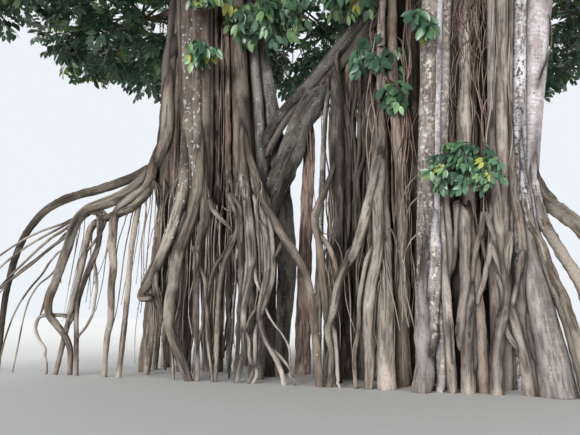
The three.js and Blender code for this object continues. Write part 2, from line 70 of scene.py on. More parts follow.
# Heights and slopes that the limbs share with the solids
SUNK = 0.06  # how far a foot runs on below the ground before it is cut
FORK_Z = 6.0  # where the stems end and the boughs begin
SKIRT_Z = 2.35  # where the left clump's stems stand on their skirt of roots
FLARE = 0.3  # share of a stem's height over which its foot narrows
LEAN = 0.25  # how far along its lean a stem is pulled halfway up

# The face that the hanging roots lie on
FACE_X, FACE_Y = -1.03, -1.06  # a place on its line along the ground
FACE_TURN = 0.355  # how fast it turns away to the left
FACE_SLOPE = 0.15  # how fast it leans back with height

# How finely the limbs are drawn
BENT_PLACES = 97  # places along a bent line
RING_COUNTS = (6, 120)  # fewest and most rings on a limb
RING_GAPS = (0.025, 0.06)  # closest and widest rings on a root, in metres
BLUNT_RINGS = 6  # rings on an end that closes like a thumb
BLUNT_TIP = 0.0004  # share of the radius, squared, that its last ring keeps
SPINE_STEP = 0.07  # metres between places along a limb's middle
SPINE_COUNTS = (8, 110)  # fewest and most of them

Array = np.ndarray
Pair = tuple[float, float]
Triple = tuple[float, float, float]
Colour = Triple
Faces = tuple[Array, Array, Array]  # corners, the corner of each loop and the first loop of each face
Profile = Callable[[Array], Array]  # a radius by share of the length
Piece = bpy.types.Object
Socket = bpy.types.NodeSocket


# Lines and fields
def unit(vectors: Array) -> Array:
    """The same vectors at length one.

    Args:
        vectors: one vector, or one per row.

    Returns:
        Vectors of length one, in the same shape.
    """
    length = np.linalg.norm(vectors, axis=-1, keepdims=True)
    return vectors / np.maximum(length, 1e-9)


def mix(a: Array | float, b: Array | float, share: Array | float) -> Array | float:
    """The value that lies the given share of the way from a to b."""
    return a + (b - a) * share


class Field:
    """A smooth seeded field of crossed waves, about -1 to 1."""

    waves_each: int = 6  # waves in an octave
    lengths: Pair = (0.75, 1.3)  # how far their lengths differ
    fade: float = 0.55  # height of an octave against the one before it
    total: float = 1.5  # what the octaves come to together

    def __init__(self, seed: int, size: float, octaves: int = 3) -> None:
        """Settles the waves.

        Args:
            seed: the field's own number.
            size: length of its largest swells, in metres.
            octaves: how many times finer waves are added.
        """
        rng = np.random.default_rng(seed)
        count = self.waves_each * octaves
        level = np.repeat(np.arange(octaves), self.waves_each)
        way = unit(rng.normal(size=(count, 3)))
        self.waves = way * (TAU / (size * 0.5 ** level))[:, None] * rng.uniform(*self.lengths, (count, 1))
        self.phase = rng.uniform(0, TAU, count)
        self.height = self.fade ** level / math.sqrt(self.waves_each / 2)

    def __call__(self, places: Array) -> Array:
        """The field's value at each place."""
        return np.sin(places @ self.waves.T + self.phase) @ self.height / self.total


@dataclass
class Path:
    """A smooth line in space, read by shares of its length."""

    points: Array
    length: float = 0.0
    shares: Array = field(default_factory=lambda: np.zeros(0))

    def __post_init__(self) -> None:
        """Measures the line."""
        step = np.linalg.norm(np.diff(self.points, axis=0), axis=1)
        run = np.concatenate([[0.0], np.cumsum(step)])
        self.length = float(run[-1])
        self.shares = run / run[-1]

    @classmethod
    def through(cls, route: Sequence[Sequence[float]], fine: int = 24) -> "Path":
        """A centripetal curve through the route's points.

        Args:
            route: the points.
            fine: steps between one point and the next.

        Returns:
            The path.
        """
        p = np.array(route, float)
        p = np.vstack([2 * p[0] - p[1], p, 2 * p[-1] - p[-2]])
        t = np.linspace(0, 1, fine, endpoint=False)[:, None]
        runs = []
        for i in range(1, len(p) - 2):
            a, b, c, d = p[i - 1 : i + 3]
            s0, s1, s2 = (max(float(np.linalg.norm(v)) ** 0.5, 1e-4) for v in (b - a, c - b, d - c))
            out = ((b - a) / s0 - (c - a) / (s0 + s1) + (c - b) / s1) * s1
            into = ((c - b) / s1 - (d - b) / (s1 + s2) + (d - c) / s2) * s1
            runs.append(b + out * t + (3 * (c - b) - 2 * out - into) * t**2
                        + (2 * (b - c) + out + into) * t**3)
        return cls(np.vstack([*runs, p[-2]]))

    @classmethod
    def bent(cls, *controls: Sequence[float]) -> "Path":
        """A curve bent by three or four control points.

        Args:
            controls: the start, the point or points that pull the curve, and the end.

        Returns:
            The path.
        """
        t = np.linspace(0, 1, BENT_PLACES)[:, None]
        n = len(controls) - 1
        weights = [math.comb(n, i) * t**i * (1 - t) ** (n - i) for i in range(n + 1)]
        return cls(sum(w * np.array(c, float) for w, c in zip(weights, controls)))

    def at(self, shares: Array) -> Array:
        """The places at the given shares of the length."""
        return np.stack([np.interp(shares, self.shares, self.points[:, i]) for i in range(3)], axis=-1)

    def heading(self, shares: Array) -> Array:
        """The line's direction at the given shares of the length."""
        gap = 0.01
        return unit(self.at(np.minimum(shares + gap, 1.0)) - self.at(np.maximum(shares - gap, 0.0)))

    def spot(self, share: float) -> Array:
        """The place at one share of the length."""
        return self.at(np.array([share]))[0]

    def way(self, share: float) -> Array:
        """The line's direction at one share of the length."""
        return self.heading(np.array([share]))[0]

    def frames(self, shares: Array) -> tuple[Array, Array, Array]:
        """Places and two crosswise directions that turn as little as they can.

        Args:
            shares: shares of the length, in order.

        Returns:
            The places, the first directions (towards +X where the line is upright) and the second.
        """
        places, ways = self.at(shares), self.heading(shares)
        start = np.array([1.0, 0.0, 0.0]) if abs(ways[0][0]) < 0.9 else UP
        side = unit(start - ways[0] * (start @ ways[0]))
        sides = [side]
        for way in ways[1:]:
            side = unit(side - way * (side @ way))
            sides.append(side)
        first = np.array(sides)
        return places, first, np.cross(ways, first)


# Finishes
class Graph:
    """A material's node tree, written from its first texture to its shader."""

    def __init__(self, name: str) -> None:
        """Makes an empty material with a shader and an output.

        Args:
            name: the material's name.
        """
        self.material = bpy.data.materials.new(name)
        self.material.use_nodes = True
        self.tree = self.material.node_tree
        self.shader = next(n for n in self.tree.nodes if n.type == "BSDF_PRINCIPLED")

    def node(self, kind: str, inputs: dict | None = None, **settings: object) -> bpy.types.Node:
        """Adds a node.

        Args:
            kind: the node's type without its ShaderNode prefix.
            inputs: socket names or numbers with a value or another node's output.
            settings: the node's own settings.

        Returns:
            The node.
        """
        made = self.tree.nodes.new("ShaderNode" + kind)
        for name, value in settings.items():
            setattr(made, name, value)
        for key, value in (inputs or {}).items():
            if isinstance(value, Socket):
                self.tree.links.new(value, made.inputs[key])
            else:
                made.inputs[key].default_value = value
        return made

    def grain(self) -> Socket:
        """The place on a limb's skin: crosswise in X and Y, and along the limb in Z."""
        return self.node("Attribute", attribute_name="grain").outputs["Vector"]

    def stretched(self, vector: Socket, scale: Colour) -> Socket:
        """The same places with each axis scaled."""
        return self.node("Mapping", {"Vector": vector, "Scale": scale}).outputs[0]

    def noise(self, vector: Socket, scale: float, detail: float = 3.0) -> Socket:
        """A noise of the given scale, as a share."""
        sockets = {"Vector": vector, "Scale": scale, "Detail": detail, "Roughness": 0.6}
        return self.node("TexNoise", sockets).outputs[0]

    def ramp(self, share: Socket, low: float, high: float) -> Socket:
        """Zero below low, one above high and smooth between them."""
        sockets = {0: share, 1: low, 2: high, 3: 0.0, 4: 1.0}
        return self.node("MapRange", sockets, interpolation_type="SMOOTHSTEP").outputs[0]

    def times(self, a: Socket, b: Socket | float) -> Socket:
        """One share times another."""
        return self.node("Math", {0: a, 1: b}, operation="MULTIPLY").outputs[0]

    def blend(self, share: Socket, below: Socket | Colour, above: Socket | Colour) -> Socket:
        """Blends two colours.

        Args:
            share: how much of the second colour each place takes.
            below: the colour where the share is zero.
            above: the colour where it is one.

        Returns:
            The blended colour.
        """
        made = self.node("Mix", {0: share}, data_type="RGBA")
        for key, colour in ((6, below), (7, above)):
            if isinstance(colour, Socket):
                self.tree.links.new(colour, made.inputs[key])
            else:
                made.inputs[key].default_value = (*colour, 1.0)
        return made.outputs[2]

    def mark(self, colour: Socket, share: Socket, limits: Pair, strength: float,
             over: Socket | Colour) -> Socket:
        """Lays one colour over another where a share passes its limits.

        Args:
            colour: the colour below.
            share: what is compared with the limits.
            limits: the share where the mark begins and the one where it is full.
            strength: how much of the mark shows where it is full.
            over: the mark's colour.

        Returns:
            The colour with its marks.
        """
        return self.blend(self.times(self.ramp(share, *limits), strength), colour, over)

    def gloss(self, rough: float, shine: float) -> None:
        """Sets the shader's roughness and the strength of its reflections."""
        self.shader.inputs["Roughness"].default_value = rough
        self.shader.inputs["Specular IOR Level"].default_value = shine

    def plain(self, colour: Colour, rough: float, shine: float) -> None:
        """Sets one colour all over, with its gloss."""
        self.shader.inputs["Base Color"].default_value = (*colour, 1.0)
        self.gloss(rough, shine)


MOSS_GREEN = (0.045, 0.055, 0.026)


@dataclass(frozen=True)
class Bark:
    """A bark finish: streaks along the limb, clouds of tone, spots of lichen and painted shade in the joints
    between limbs.
    """

    name: str
    dark: Colour
    mid: Colour
    light: Colour
    spot: Colour = (0.55, 0.53, 0.50)
    spot_size: float = 14.0  # spots across a metre
    spot_share: float = 0.0  # how much of the skin the spots take
    spot_along: float = 1.0  # under one draws the spots out along the limb
    patch: Colour = (0.5, 0.45, 0.38)
    patch_size: float = 9.0  # patches across a metre
    patch_share: float = 0.0
    grit: float = 0.5  # strength of the fine dark specks
    scars: float = 0.7  # strength of the long dark furrows
    band: float = 0.0  # strength of the rings round the limb
    moss: float = 0.0
    rough: float = 0.86
    relief: float = 0.012  # depth of the fine relief, in metres

    def material(self) -> bpy.types.Material:
        """Paints the bark from its streaks up.

        Returns:
            The finish as a material.
        """
        g = Graph(self.name)
        grain = g.grain()

        def drawn(along: float, scale: float, detail: float, across: float = 1.0) -> Socket:
            """A noise that is drawn out along the limb."""
            return g.noise(g.stretched(grain, (across, across, along)), scale, detail)

        streak, cloud = drawn(0.1, 30.0, 5.0), drawn(0.45, 3.2, 3.0)
        fine, scar = drawn(0.5, 70.0, 3.0), drawn(0.06, 11.0, 4.0)
        colour = g.blend(g.ramp(streak, 0.40, 0.57), self.dark, self.mid)
        colour = g.blend(g.ramp(cloud, 0.46, 0.60), colour, self.light)
        colour = g.mark(colour, streak, (0.60, 0.68), 0.6, self.light)
        colour = g.mark(colour, fine, (0.50, 0.36), self.grit, self.dark)
        colour = g.mark(colour, scar, (0.41, 0.36), self.scars, tuple(0.5 * c for c in self.dark))
        if self.band:
            rings = drawn(9.0, 4.0, 2.0, 1.2)
            colour = g.mark(colour, rings, (0.55, 0.64), self.band, self.light)
            colour = g.mark(colour, rings, (0.42, 0.34), self.band, self.dark)
        if self.moss:
            colour = g.mark(colour, drawn(0.6, 6.0, 4.0), (0.46, 0.62), self.moss, MOSS_GREEN)
        if self.patch_share:
            edge = 0.70 - 0.30 * self.patch_share
            colour = g.mark(colour, drawn(0.8, self.patch_size, 3.0), (edge, edge + 0.03), 0.85, self.patch)
        if self.spot_share:
            edge = 0.74 - 0.34 * self.spot_share
            spots = g.ramp(drawn(self.spot_along, self.spot_size, 4.0), edge, edge + 0.04)
            colour = g.blend(g.times(spots, g.ramp(cloud, 0.34, 0.50)), colour, self.spot)
        crease = g.node("Attribute", attribute_name="crease").outputs["Fac"]
        tone = g.node("Attribute", attribute_name="tone").outputs["Fac"]
        colour = g.blend(g.times(tone, 0.4), colour, self.dark)
        # Painted shade: the bark is darkened towards near black in the joints between limbs, where shade
        # falls.
        colour = g.blend(g.times(crease, 0.92), colour, tuple(0.12 * c for c in self.dark))
        g.tree.links.new(colour, g.shader.inputs["Base Color"])
        g.gloss(self.rough, 0.3)
        height = g.node("Math", {0: streak, 1: g.times(fine, 0.4)}, operation="ADD").outputs[0]
        height = g.node("Math", {0: height, 1: g.times(scar, self.scars)}, operation="ADD").outputs[0]
        bump = g.node("Bump", {"Height": height, "Distance": self.relief, "Strength": 1.0})
        g.tree.links.new(bump.outputs[0], g.shader.inputs["Normal"])
        return g.material


@dataclass(frozen=True)
class Leafage:
    """A leaf finish: one plain colour, dealt out by spray, with a soft gloss."""

    name: str
    colour: Colour
    rough: float = 0.42

    def material(self) -> bpy.types.Material:
        """Colours the leaf.

        Returns:
            The finish as a material.
        """
        g = Graph(self.name)
        g.plain(self.colour, self.rough, 0.6)
        return g.material


class Finish(Enum):
    """The finishes on the tree."""

    PALE = Bark("pale_blotched_bark", (0.12, 0.096, 0.082), (0.3, 0.252, 0.222), (0.47, 0.41, 0.375),
        spot=(0.76, 0.7, 0.62), spot_size=17.0, spot_share=0.54, patch=(0.62, 0.53, 0.42), patch_size=12.0,
        patch_share=0.32, band=0.35, grit=0.5, scars=0.35, relief=0.007)
    SMOOTH_PALE = Bark("smooth_pale_bark", (0.17, 0.143, 0.125), (0.33, 0.288, 0.26), (0.45, 0.405, 0.375),
        spot=(0.62, 0.58, 0.53), spot_size=19.0, spot_share=0.2, band=0.2, grit=0.45, scars=0.35,
        relief=0.007)
    RIDGE = Bark("pale_ridge_bark", (0.24, 0.21, 0.205), (0.44, 0.415, 0.42), (0.66, 0.64, 0.67),
        spot=(0.72, 0.69, 0.68), spot_size=20.0, spot_share=0.45, patch=(0.22, 0.19, 0.17), patch_size=13.0,
        patch_share=0.25, band=0.35, scars=0.2, relief=0.005)
    WHITE = Bark("white_grey_bark", (0.3, 0.25, 0.24), (0.53, 0.475, 0.485), (0.76, 0.73, 0.755),
        spot=(0.2, 0.165, 0.155), spot_size=15.0, spot_share=0.3, spot_along=0.8, patch=(0.47, 0.385, 0.36),
        patch_size=11.0, patch_share=0.55, band=0.55, grit=0.7, scars=0.35, relief=0.006)
    MOTTLED = Bark("mottled_white_bark", (0.16, 0.135, 0.13), (0.53, 0.485, 0.49), (0.8, 0.77, 0.79),
        spot=(0.1, 0.083, 0.078), spot_size=24.0, spot_share=0.58, spot_along=0.8, patch=(0.82, 0.8, 0.82),
        patch_size=18.0, patch_share=0.35, band=0.3, grit=0.5, scars=0.2, relief=0.006)
    TAN = Bark("tan_bark", (0.135, 0.104, 0.085), (0.36, 0.295, 0.245), (0.53, 0.45, 0.385),
        spot=(0.5, 0.46, 0.42), spot_size=22.0, spot_share=0.16, grit=0.35, scars=0.45, relief=0.008)
    BROWN = Bark("brown_bark", (0.095, 0.07, 0.052), (0.215, 0.165, 0.126), (0.32, 0.258, 0.206),
        spot=(0.62, 0.61, 0.6), spot_size=26.0, spot_share=0.18, grit=0.3, scars=0.3, relief=0.008)
    SPECKLED = Bark("speckled_brown_bark", (0.075, 0.054, 0.041), (0.165, 0.125, 0.098),
        (0.245, 0.193, 0.153), spot=(0.78, 0.77, 0.76), spot_size=20.0, spot_share=0.42, spot_along=0.8,
        patch=(0.25, 0.24, 0.24), patch_size=6.0, patch_share=0.25, grit=0.25, scars=0.15, relief=0.006)
    GREY = Bark("grey_bark", (0.085, 0.074, 0.062), (0.24, 0.218, 0.188), (0.4, 0.378, 0.34),
        spot=(0.55, 0.55, 0.54), spot_size=23.0, spot_share=0.42, moss=0.25, grit=0.4)
    RED = Bark("red_brown_bark", (0.08, 0.052, 0.04), (0.26, 0.185, 0.145), (0.44, 0.34, 0.275),
        spot_share=0.05, spot_size=18.0, grit=0.4, relief=0.014)
    # Painted shade: near-black bark for the inner stems that stand in the recesses behind the front stems.
    RECESS = Bark("shaded_inner_bark", (0.02, 0.014, 0.011), (0.055, 0.039, 0.03), (0.11, 0.08, 0.062),
        relief=0.016)
    DARK = Bark("dark_brown_bark", (0.036, 0.029, 0.022), (0.095, 0.078, 0.06), (0.18, 0.15, 0.12),
        spot=(0.3, 0.28, 0.25), spot_size=18.0, spot_share=0.12, relief=0.014)
    MOSS = Bark("mossy_grey_bark", (0.026, 0.022, 0.018), (0.08, 0.07, 0.058), (0.172, 0.156, 0.133),
        spot=(0.42, 0.42, 0.4), spot_size=20.0, spot_share=0.3, moss=0.35, relief=0.014)
    ROOT = Bark("grey_tan_root_bark", (0.085, 0.066, 0.05), (0.255, 0.21, 0.167), (0.415, 0.36, 0.298),
        spot=(0.46, 0.42, 0.36), spot_size=20.0, spot_share=0.15, grit=0.4, relief=0.009)
    PALE_ROOT = Bark("pale_root_bark", (0.14, 0.112, 0.088), (0.4, 0.342, 0.285), (0.58, 0.515, 0.445),
        spot_share=0.1, grit=0.35, relief=0.007)
    ROOTLET = Bark("red_rootlet_bark", (0.07, 0.044, 0.032), (0.22, 0.152, 0.117), (0.4, 0.295, 0.235),
        relief=0.004)
    TWIG = Bark("twig_bark", (0.053, 0.04, 0.025), (0.116, 0.09, 0.055), (0.179, 0.14, 0.088), relief=0.003)
    LEAF_DEEP = Leafage("leaf_deep_green", (0.041, 0.095, 0.053), 0.32)
    LEAF_MID = Leafage("leaf_mid_green", (0.081, 0.17, 0.088), 0.34)
    LEAF_LIGHT = Leafage("leaf_light_green", (0.178, 0.3, 0.128), 0.38)
    LEAF_YOUNG = Leafage("leaf_yellow_green", (0.34, 0.36, 0.075), 0.46)

    def slot(self) -> bpy.types.Material:
        """The finish's material, made the first time that it is asked for."""
        made = bpy.data.materials.get(self.value.name)
        return made or self.value.material()


LEAVES = (Finish.LEAF_DEEP, Finish.LEAF_MID, Finish.LEAF_LIGHT, Finish.LEAF_YOUNG)


# Limbs
@dataclass(frozen=True)
class Relief:
    """How a limb's skin departs from a round tube, as shares of its radius."""

    lobes: int = 3
    depth: float = 0.07
    twist: float = 0.5  # turns of the lobes over the height of the fork
    knots: float = 0.06
    ripple: float = 0.02
    sway: float = 3.1  # how often the lobes deepen along the limb, in radians a metre
    knot_size: float = 3.2  # length of the largest knots, in radii
    ripple_size: float = 0.9  # length of the largest ripples, in radii


PLAIN = Relief()
SMOOTH = Relief(lobes=2, depth=0.035, twist=0.25, knots=0.025, ripple=0.008)
FLUTED = Relief(lobes=5, depth=0.10, twist=0.35, knots=0.05, ripple=0.03)
KNOTTY = Relief(lobes=4, depth=0.09, twist=0.8, knots=0.10, ripple=0.04)


def placed(name: str, data: bpy.types.ID) -> Piece:
    """Puts a mesh, lamp or camera in the scene.

    Args:
        name: the object's name.
        data: what it shows.

    Returns:
        The object, at the origin.
    """
    made = bpy.data.objects.new(name, data)
    bpy.context.scene.collection.objects.link(made)
    return made


def repeated(loops: Array, starts: Array, corners: int, count: int) -> tuple[Array, Array]:
    """The faces of many equal shells that lie one after another.

    Args:
        loops: the corner of each loop of one shell.
        starts: the first loop of each face of one shell.
        corners: its corners.
        count: how many shells.

    Returns:
        The corner of each loop and the first loop of each face.
    """
    number = np.arange(count)[:, None]
    return (loops[None] + corners * number).ravel(), (starts[None] + len(loops) * number).ravel()


@dataclass(frozen=True)
class Tube:
    """A straight closed tube of unit radius, spun from a line: the blank of every limb."""

    turn: Array  # bearing of each corner
    ring: Array  # number of each corner's ring
    loops: Array
    starts: Array

    @classmethod
    def spun(cls, sides: int, rings: int) -> "Tube":
        """Spins the blank.

        Args:
            sides: corners round the tube.
            rings: rings along it.

        Returns:
            The blank.
        """
        bm = bmesh.new()
        line = [bm.verts.new((1, 0, i)) for i in range(rings)]
        edges = [bm.edges.new(pair) for pair in zip(line, line[1:])]
        bmesh.ops.spin(bm, geom=[*line, *edges], axis=(0, 0, 1), angle=TAU, steps=sides, use_merge=True)
        bmesh.ops.holes_fill(bm, edges=bm.edges[:], sides=0)
        bmesh.ops.recalc_face_normals(bm, faces=bm.faces[:])
        blank = bpy.data.meshes.new("blank")
        bm.to_mesh(blank)
        bm.free()
        place, loops, starts = mesh_arrays(blank)
        bpy.data.meshes.remove(blank)
        return cls(np.arctan2(place[:, 1], place[:, 0]), np.rint(place[:, 2]).astype(int), loops, starts)


def mesh_arrays(mesh: bpy.types.Mesh) -> Faces:
    """Reads a mesh.

    Args:
        mesh: any mesh.

    Returns:
        Its corners, the corner of each loop and the first loop of each face.
    """
    place = np.empty(len(mesh.vertices) * 3)
    mesh.vertices.foreach_get("co", place)
    loops = np.empty(len(mesh.loops), int)
    mesh.loops.foreach_get("vertex_index", loops)
    starts = np.empty(len(mesh.polygons), int)
    mesh.polygons.foreach_get("loop_start", starts)
    return place.reshape(-1, 3), loops, starts


BLANKS: dict[tuple[int, int], Tube] = {}


def blank_tube(sides: int, rings: int) -> Tube:
    """The blank of one make, spun the first time that it is asked for.

    Args:
        sides: corners round it.
        rings: rings along it.

    Returns:
        The blank.
    """
    if (sides, rings) not in BLANKS:
        BLANKS[sides, rings] = Tube.spun(sides, rings)
    return BLANKS[sides, rings]


def tapered(start: float, end: float) -> Profile:
    """A radius that runs evenly from one value to the other."""
    return lambda t: mix(start, end, t)


def threadlike(size: float, head: float = 0.25, neck: float = 0.08, tip: float = 0.55) -> Profile:
    """A rootlet's radius, fine at its head and thinning towards its tip.

    Args:
        size: radius below its head.
        head: share of that radius at the very start.
        neck: share of the length over which it fills out.
        tip: share of that radius at its tip.

    Returns:
        The radius by share of the length.
    """
    return lambda t: size * mix(head, 1.0, np.clip(t / neck, 0, 1)) * mix(1.0, tip, t)


def flared(foot: float, head: float, low: float, toe: float = 0.35, rounded: float = 0.16) -> Profile:
    """A stem's radius.

    Args:
        foot: radius at the foot, the widest point of its flare.
        head: radius above the flare.
        low: height of the foot; a foot above the ground is rounded.
        toe: share of the radius at the very end of a rounded foot.
        rounded: share of the length that is rounded.

    Returns:
        The radius by share of the length.
    """
    def radius(t: Array) -> Array:
        """The radius at each share of the length."""
        rounding = mix(toe, 1.0, np.sqrt(np.minimum(t / rounded, 1.0))) if low > 0 else 1.0
        return mix(head, foot, np.exp(-t / FLARE)) * rounding

    return radius


def name_seed(name: str, first: int = 1) -> int:
    """A number that belongs to a name."""
    return sum(ord(letter) * (i + first) for i, letter in enumerate(name))


@dataclass
class Limb:
    """One stem, bough or root: a line, a radius along it, a relief and a finish."""

    name: str
    path: Path
    radius: Profile
    finish: Finish
    relief: Relief = PLAIN
    sides: int = 20
    spacing: float = 0.06
    # how much of the painted crease shade the limb takes in its joints
    crease_shade_share: float = 1.0
    blunt: float = 0.0  # share of the length over which the end closes like a thumb
    upper: Finish | None = None  # the carrier's finish, on the rib that runs up it
    upper_share: float = 0.0

    def thickness(self, share: float) -> float:
        """The radius at one share of the length."""
        return float(self.radius(np.array([share]))[0])

    def rings(self) -> Array:
        """Sets out the rings of corners.

        Returns:
            The share of the length at each.
        """
        shares = np.linspace(0.0, 1.0, int(np.clip(self.path.length / self.spacing, *RING_COUNTS)))
        if not self.blunt:
            return shares
        closing = 1 - self.blunt * np.linspace(1, 0, BLUNT_RINGS) ** 2
        return np.concatenate([shares[shares < 1 - self.blunt], closing])

    def skin(self) -> tuple[Array, Array, Tube]:
        """Bends the blank tube along the line.

        Returns:
            The corners, the grain of each corner and the blank.
        """
        shares = self.rings()
        tube = blank_tube(self.sides, len(shares))
        places, first, second = (each[tube.ring] for each in self.path.frames(shares))
        seed = name_seed(self.name, 3)
        rng = np.random.default_rng(seed)
        t, turn, r = shares[tube.ring], tube.turn, self.relief
        size = self.radius(t)
        if self.blunt:
            rest = np.clip((1 - t) / self.blunt, 0, 1)
            size = size * np.sqrt(np.maximum(1 - (1 - rest) ** 2, BLUNT_TIP))
        phase = rng.uniform(0, TAU, 3)
        around = turn + TAU * r.twist * t * self.path.length / FORK_Z + phase[0]
        wave = np.cos(r.lobes * around) + 0.5 * np.cos((2 * r.lobes + 1) * around + phase[1])
        deep = 0.65 + 0.35 * np.sin(r.sway * t * self.path.length + phase[2])
        cross = np.cos(turn)[:, None] * first + np.sin(turn)[:, None] * second
        bare = places + cross * size[:, None]
        girth = float(np.mean(size))
        knots = Field(seed + 1, max(r.knot_size * girth, 0.12))(bare * (1, 1, 0.55))
        ripples = Field(seed + 2, max(r.ripple_size * girth, 0.05), 2)(bare * (1, 1, 0.3))
        size = size * (0.975 + r.depth * wave * deep + r.knots * knots + r.ripple * ripples)
        skin = places + cross * size[:, None]
        grain = np.stack([np.cos(turn) * size, np.sin(turn) * size, t * self.path.length], axis=1)
        return skin, grain + rng.uniform(-20, 20, 3), tube

    def spine(self) -> tuple[Array, Array]:
        """Reads the middle of the limb.

        Returns:
            Places along it and the radius at each.
        """
        shares = np.linspace(0, 1, int(np.clip(self.path.length / SPINE_STEP, *SPINE_COUNTS)))
        return self.path.at(shares), np.broadcast_to(self.radius(shares), shares.shape)


def eased(share: Array | float) -> Array | float:
    """Zero to one with a soft start and end."""
    share = np.clip(share, 0.0, 1.0)
    return share * share * (3 - 2 * share)


@dataclass
class Carriers:
    """Leads a root's line up along the stem that it springs from, so that it swells out of the bark."""

    stems: Sequence[Limb]
    reach: float = 0.16  # widest gap between a root's start and its carrier's bark
    rise: float = 1.15  # length of a stout root's rib
    least_rise: float = 0.35  # share of that length under the slimmest root
    stout: float = 0.09  # radius that adds a whole length to it
    rib_shares: Triple = (1.0, 0.66, 0.33)  # where the rib's line is set out, from its head down
    rib_thin: float = 0.45  # share of the radius at its head
    sunk: float = 0.3  # how deep its line lies in the bark, in radii of the root
    sunk_head: float = 2.6  # how many times deeper its head lies
    level: float = 0.05  # an end that is higher than this stands clear of the ground
    touch: float = 0.05  # a strand's end that is nearer than this to a limb runs on into it
    lap: float = 0.14  # how far it runs on
    falls: Triple = (0.72, 0.36, 0.0)  # shares of the height left where a strand runs on to the ground
    hook: float = 0.12  # length of a rootlet's head that is led into its carrier
    joined: float = 0.02  # an end that is nearer than this to a stem's bark is joined to it
    joined_thin: float = 0.5  # share of the radius at a joined end
    start_thin: float = 0.3  # share of the radius at a start in the open
    end_thin: float = 0.25  # share of the radius at an end in the open
    tapers: Pair = (0.22, 0.45)  # length of the taper towards a joined end, and towards an open one

    def nearest(self, place: Array, among: Sequence[Limb] | None = None) -> tuple[Limb | None, float, float]:
        """The limb whose bark lies nearest to a place.

        Args:
            place: the place.
            among: the limbs to choose from, where they aren't the stems.

        Returns:
            The limb, the share of its length there and the gap to its bark.
        """
        best: tuple[Limb | None, float, float] = (None, 0.0, math.inf)
        for stem in self.stems if among is None else among:
            apart = np.linalg.norm(stem.path.points - place, axis=1)
            i = int(np.argmin(apart))
            share = float(stem.path.shares[i])
            gap = float(apart[i]) - stem.thickness(share)
            if gap < best[2]:
                best = (stem, share, gap)
        return best

    def ribbed(self, limb: Limb) -> Limb:
        """The same root with a rib that runs up its carrier and sinks into it.

        Args:
            limb: the root; its line starts at its carrier.

        Returns:
            The root with its rib, or with a slim start where no stem carries it.
        """
        stem, share, gap = self.nearest(limb.path.points[0])
        if stem is None or gap > self.reach:
            return self.slimmed(limb)
        thick = limb.thickness(0.0)
        rise = self.rise * min(1.0, self.least_rise + thick / self.stout)
        foot = stem.path.spot(share)
        out = (limb.path.spot(min(0.5 / limb.path.length, 1.0)) - foot) * (1, 1, 0)
        out = unit(out + (0, -0.01, 0))
        offset = float(np.linalg.norm((limb.path.points[0] - foot) * (1, 1, 0)))
        rib = []
        for k in self.rib_shares:
            at = min(share + rise * k / stem.path.length, 1.0)
            bark = stem.thickness(at) - self.sunk * thick * mix(1.0, self.sunk_head, k)
            rib.append(stem.path.spot(at) + out * mix(offset, bark, eased(1.3 * k)))
        keep = limb.path.at(np.linspace(0.08, 1.0, max(6, int(limb.path.length / 0.22))))
        path = Path.through([*rib, *keep])
        lead = max(1 - limb.path.length / path.length, 0.05)

        def radius(t: Array) -> Array:
            """The root's own radius below the rib, which thins upwards."""
            own = limb.radius(np.clip((t - lead) / (1 - lead), 0, 1))
            return own * mix(self.rib_thin, 1.0, eased(t / (lead * 1.25)))

        rising = replace(limb, path=path, radius=radius, upper=stem.finish,
                         upper_share=lead + limb.upper_share)
        return self.slimmed(rising, False)

    def ribbed_after(self, limbs: Sequence[Limb], count: int) -> list[Limb]:
        """The same limbs, each with its rib except for the first few."""
        return [*limbs[:count], *(self.ribbed(limb) for limb in limbs[count:])]

    def grafted(self, limb: Limb, others: Sequence[Limb]) -> Limb:
        """The same strand, sprung from what it touches and run on to what it touches or to the ground.

        Args:
            limb: the strand.
            others: every limb.

        Returns:
            The strand.
        """
        others = [other for other in others if other.name != limb.name]
        points = list(limb.path.at(np.linspace(0, 1, max(6, int(limb.path.length / 0.15)))))
        near, share, gap = self.nearest(points[0], others)
        springs = near is not None and gap < self.touch and all(near is not stem for stem in self.stems)
        if springs:
            points.insert(0, self.beside(near, share, self.lap))
        near, share, gap = self.nearest(points[-1], others)
        end = points[-1]
        if end[2] > self.level and gap < self.touch and near is not None:
            points.append(self.beside(near, share, -self.lap))
        elif end[2] > self.level:
            heading = limb.path.way(1.0)
            rng = np.random.default_rng(int(abs(end[0]) * 1000))
            for left in self.falls:
                run = heading[0] * (1 - left) * 0.5 * min(end[2], 0.8)
                x, z = end[0] + run + rng.normal(0, 0.025), end[2] * left
                away = end[1] - draped(end[0], end[2])[1]
                points.append(np.array([x, draped(x, z)[1] + away, z if left else -SUNK]))
        limb = replace(limb, path=Path.through(points))
        return self.slimmed(limb) if springs else self.ribbed(limb)

    def hung(self, patches: Sequence["Rootlets"]) -> list[Limb]:
        """The rootlets of some patches, each led into the limb nearest to its head.

        Args:
            patches: the patches.

        Returns:
            The rootlets that have a limb in reach.
        """
        made = []
        for limb in (limb for patch in patches for limb in patch.limbs()):
            near, share, gap = self.nearest(limb.path.points[0])
            if near is None or gap > self.reach:
                continue
            if gap > 0:
                first = min(self.hook / limb.path.length, 0.4)
                points = limb.path.at(np.linspace(first, 1, max(8, int(limb.path.length / self.hook))))
                head = self.beside(near, share, self.hook + 1.6 * gap)
                between = mix(head, points[0], (0.75, 0.75, 0.45))
                limb = replace(limb, path=Path.through([head, between, *points]))
            made.append(limb)
        return made

    @staticmethod
    def beside(limb: Limb, share: float, rise: float) -> Array:
        """A place in the middle of a limb, a little above or below a share of its length.

        Args:
            limb: the limb.
            share: the share of its length.
            rise: how far up; negative for down.

        Returns:
            The place.
        """
        upward = 1 if limb.path.points[-1][2] > limb.path.points[0][2] else -1
        return limb.path.spot(np.clip(share + upward * rise / limb.path.length, 0, 1))

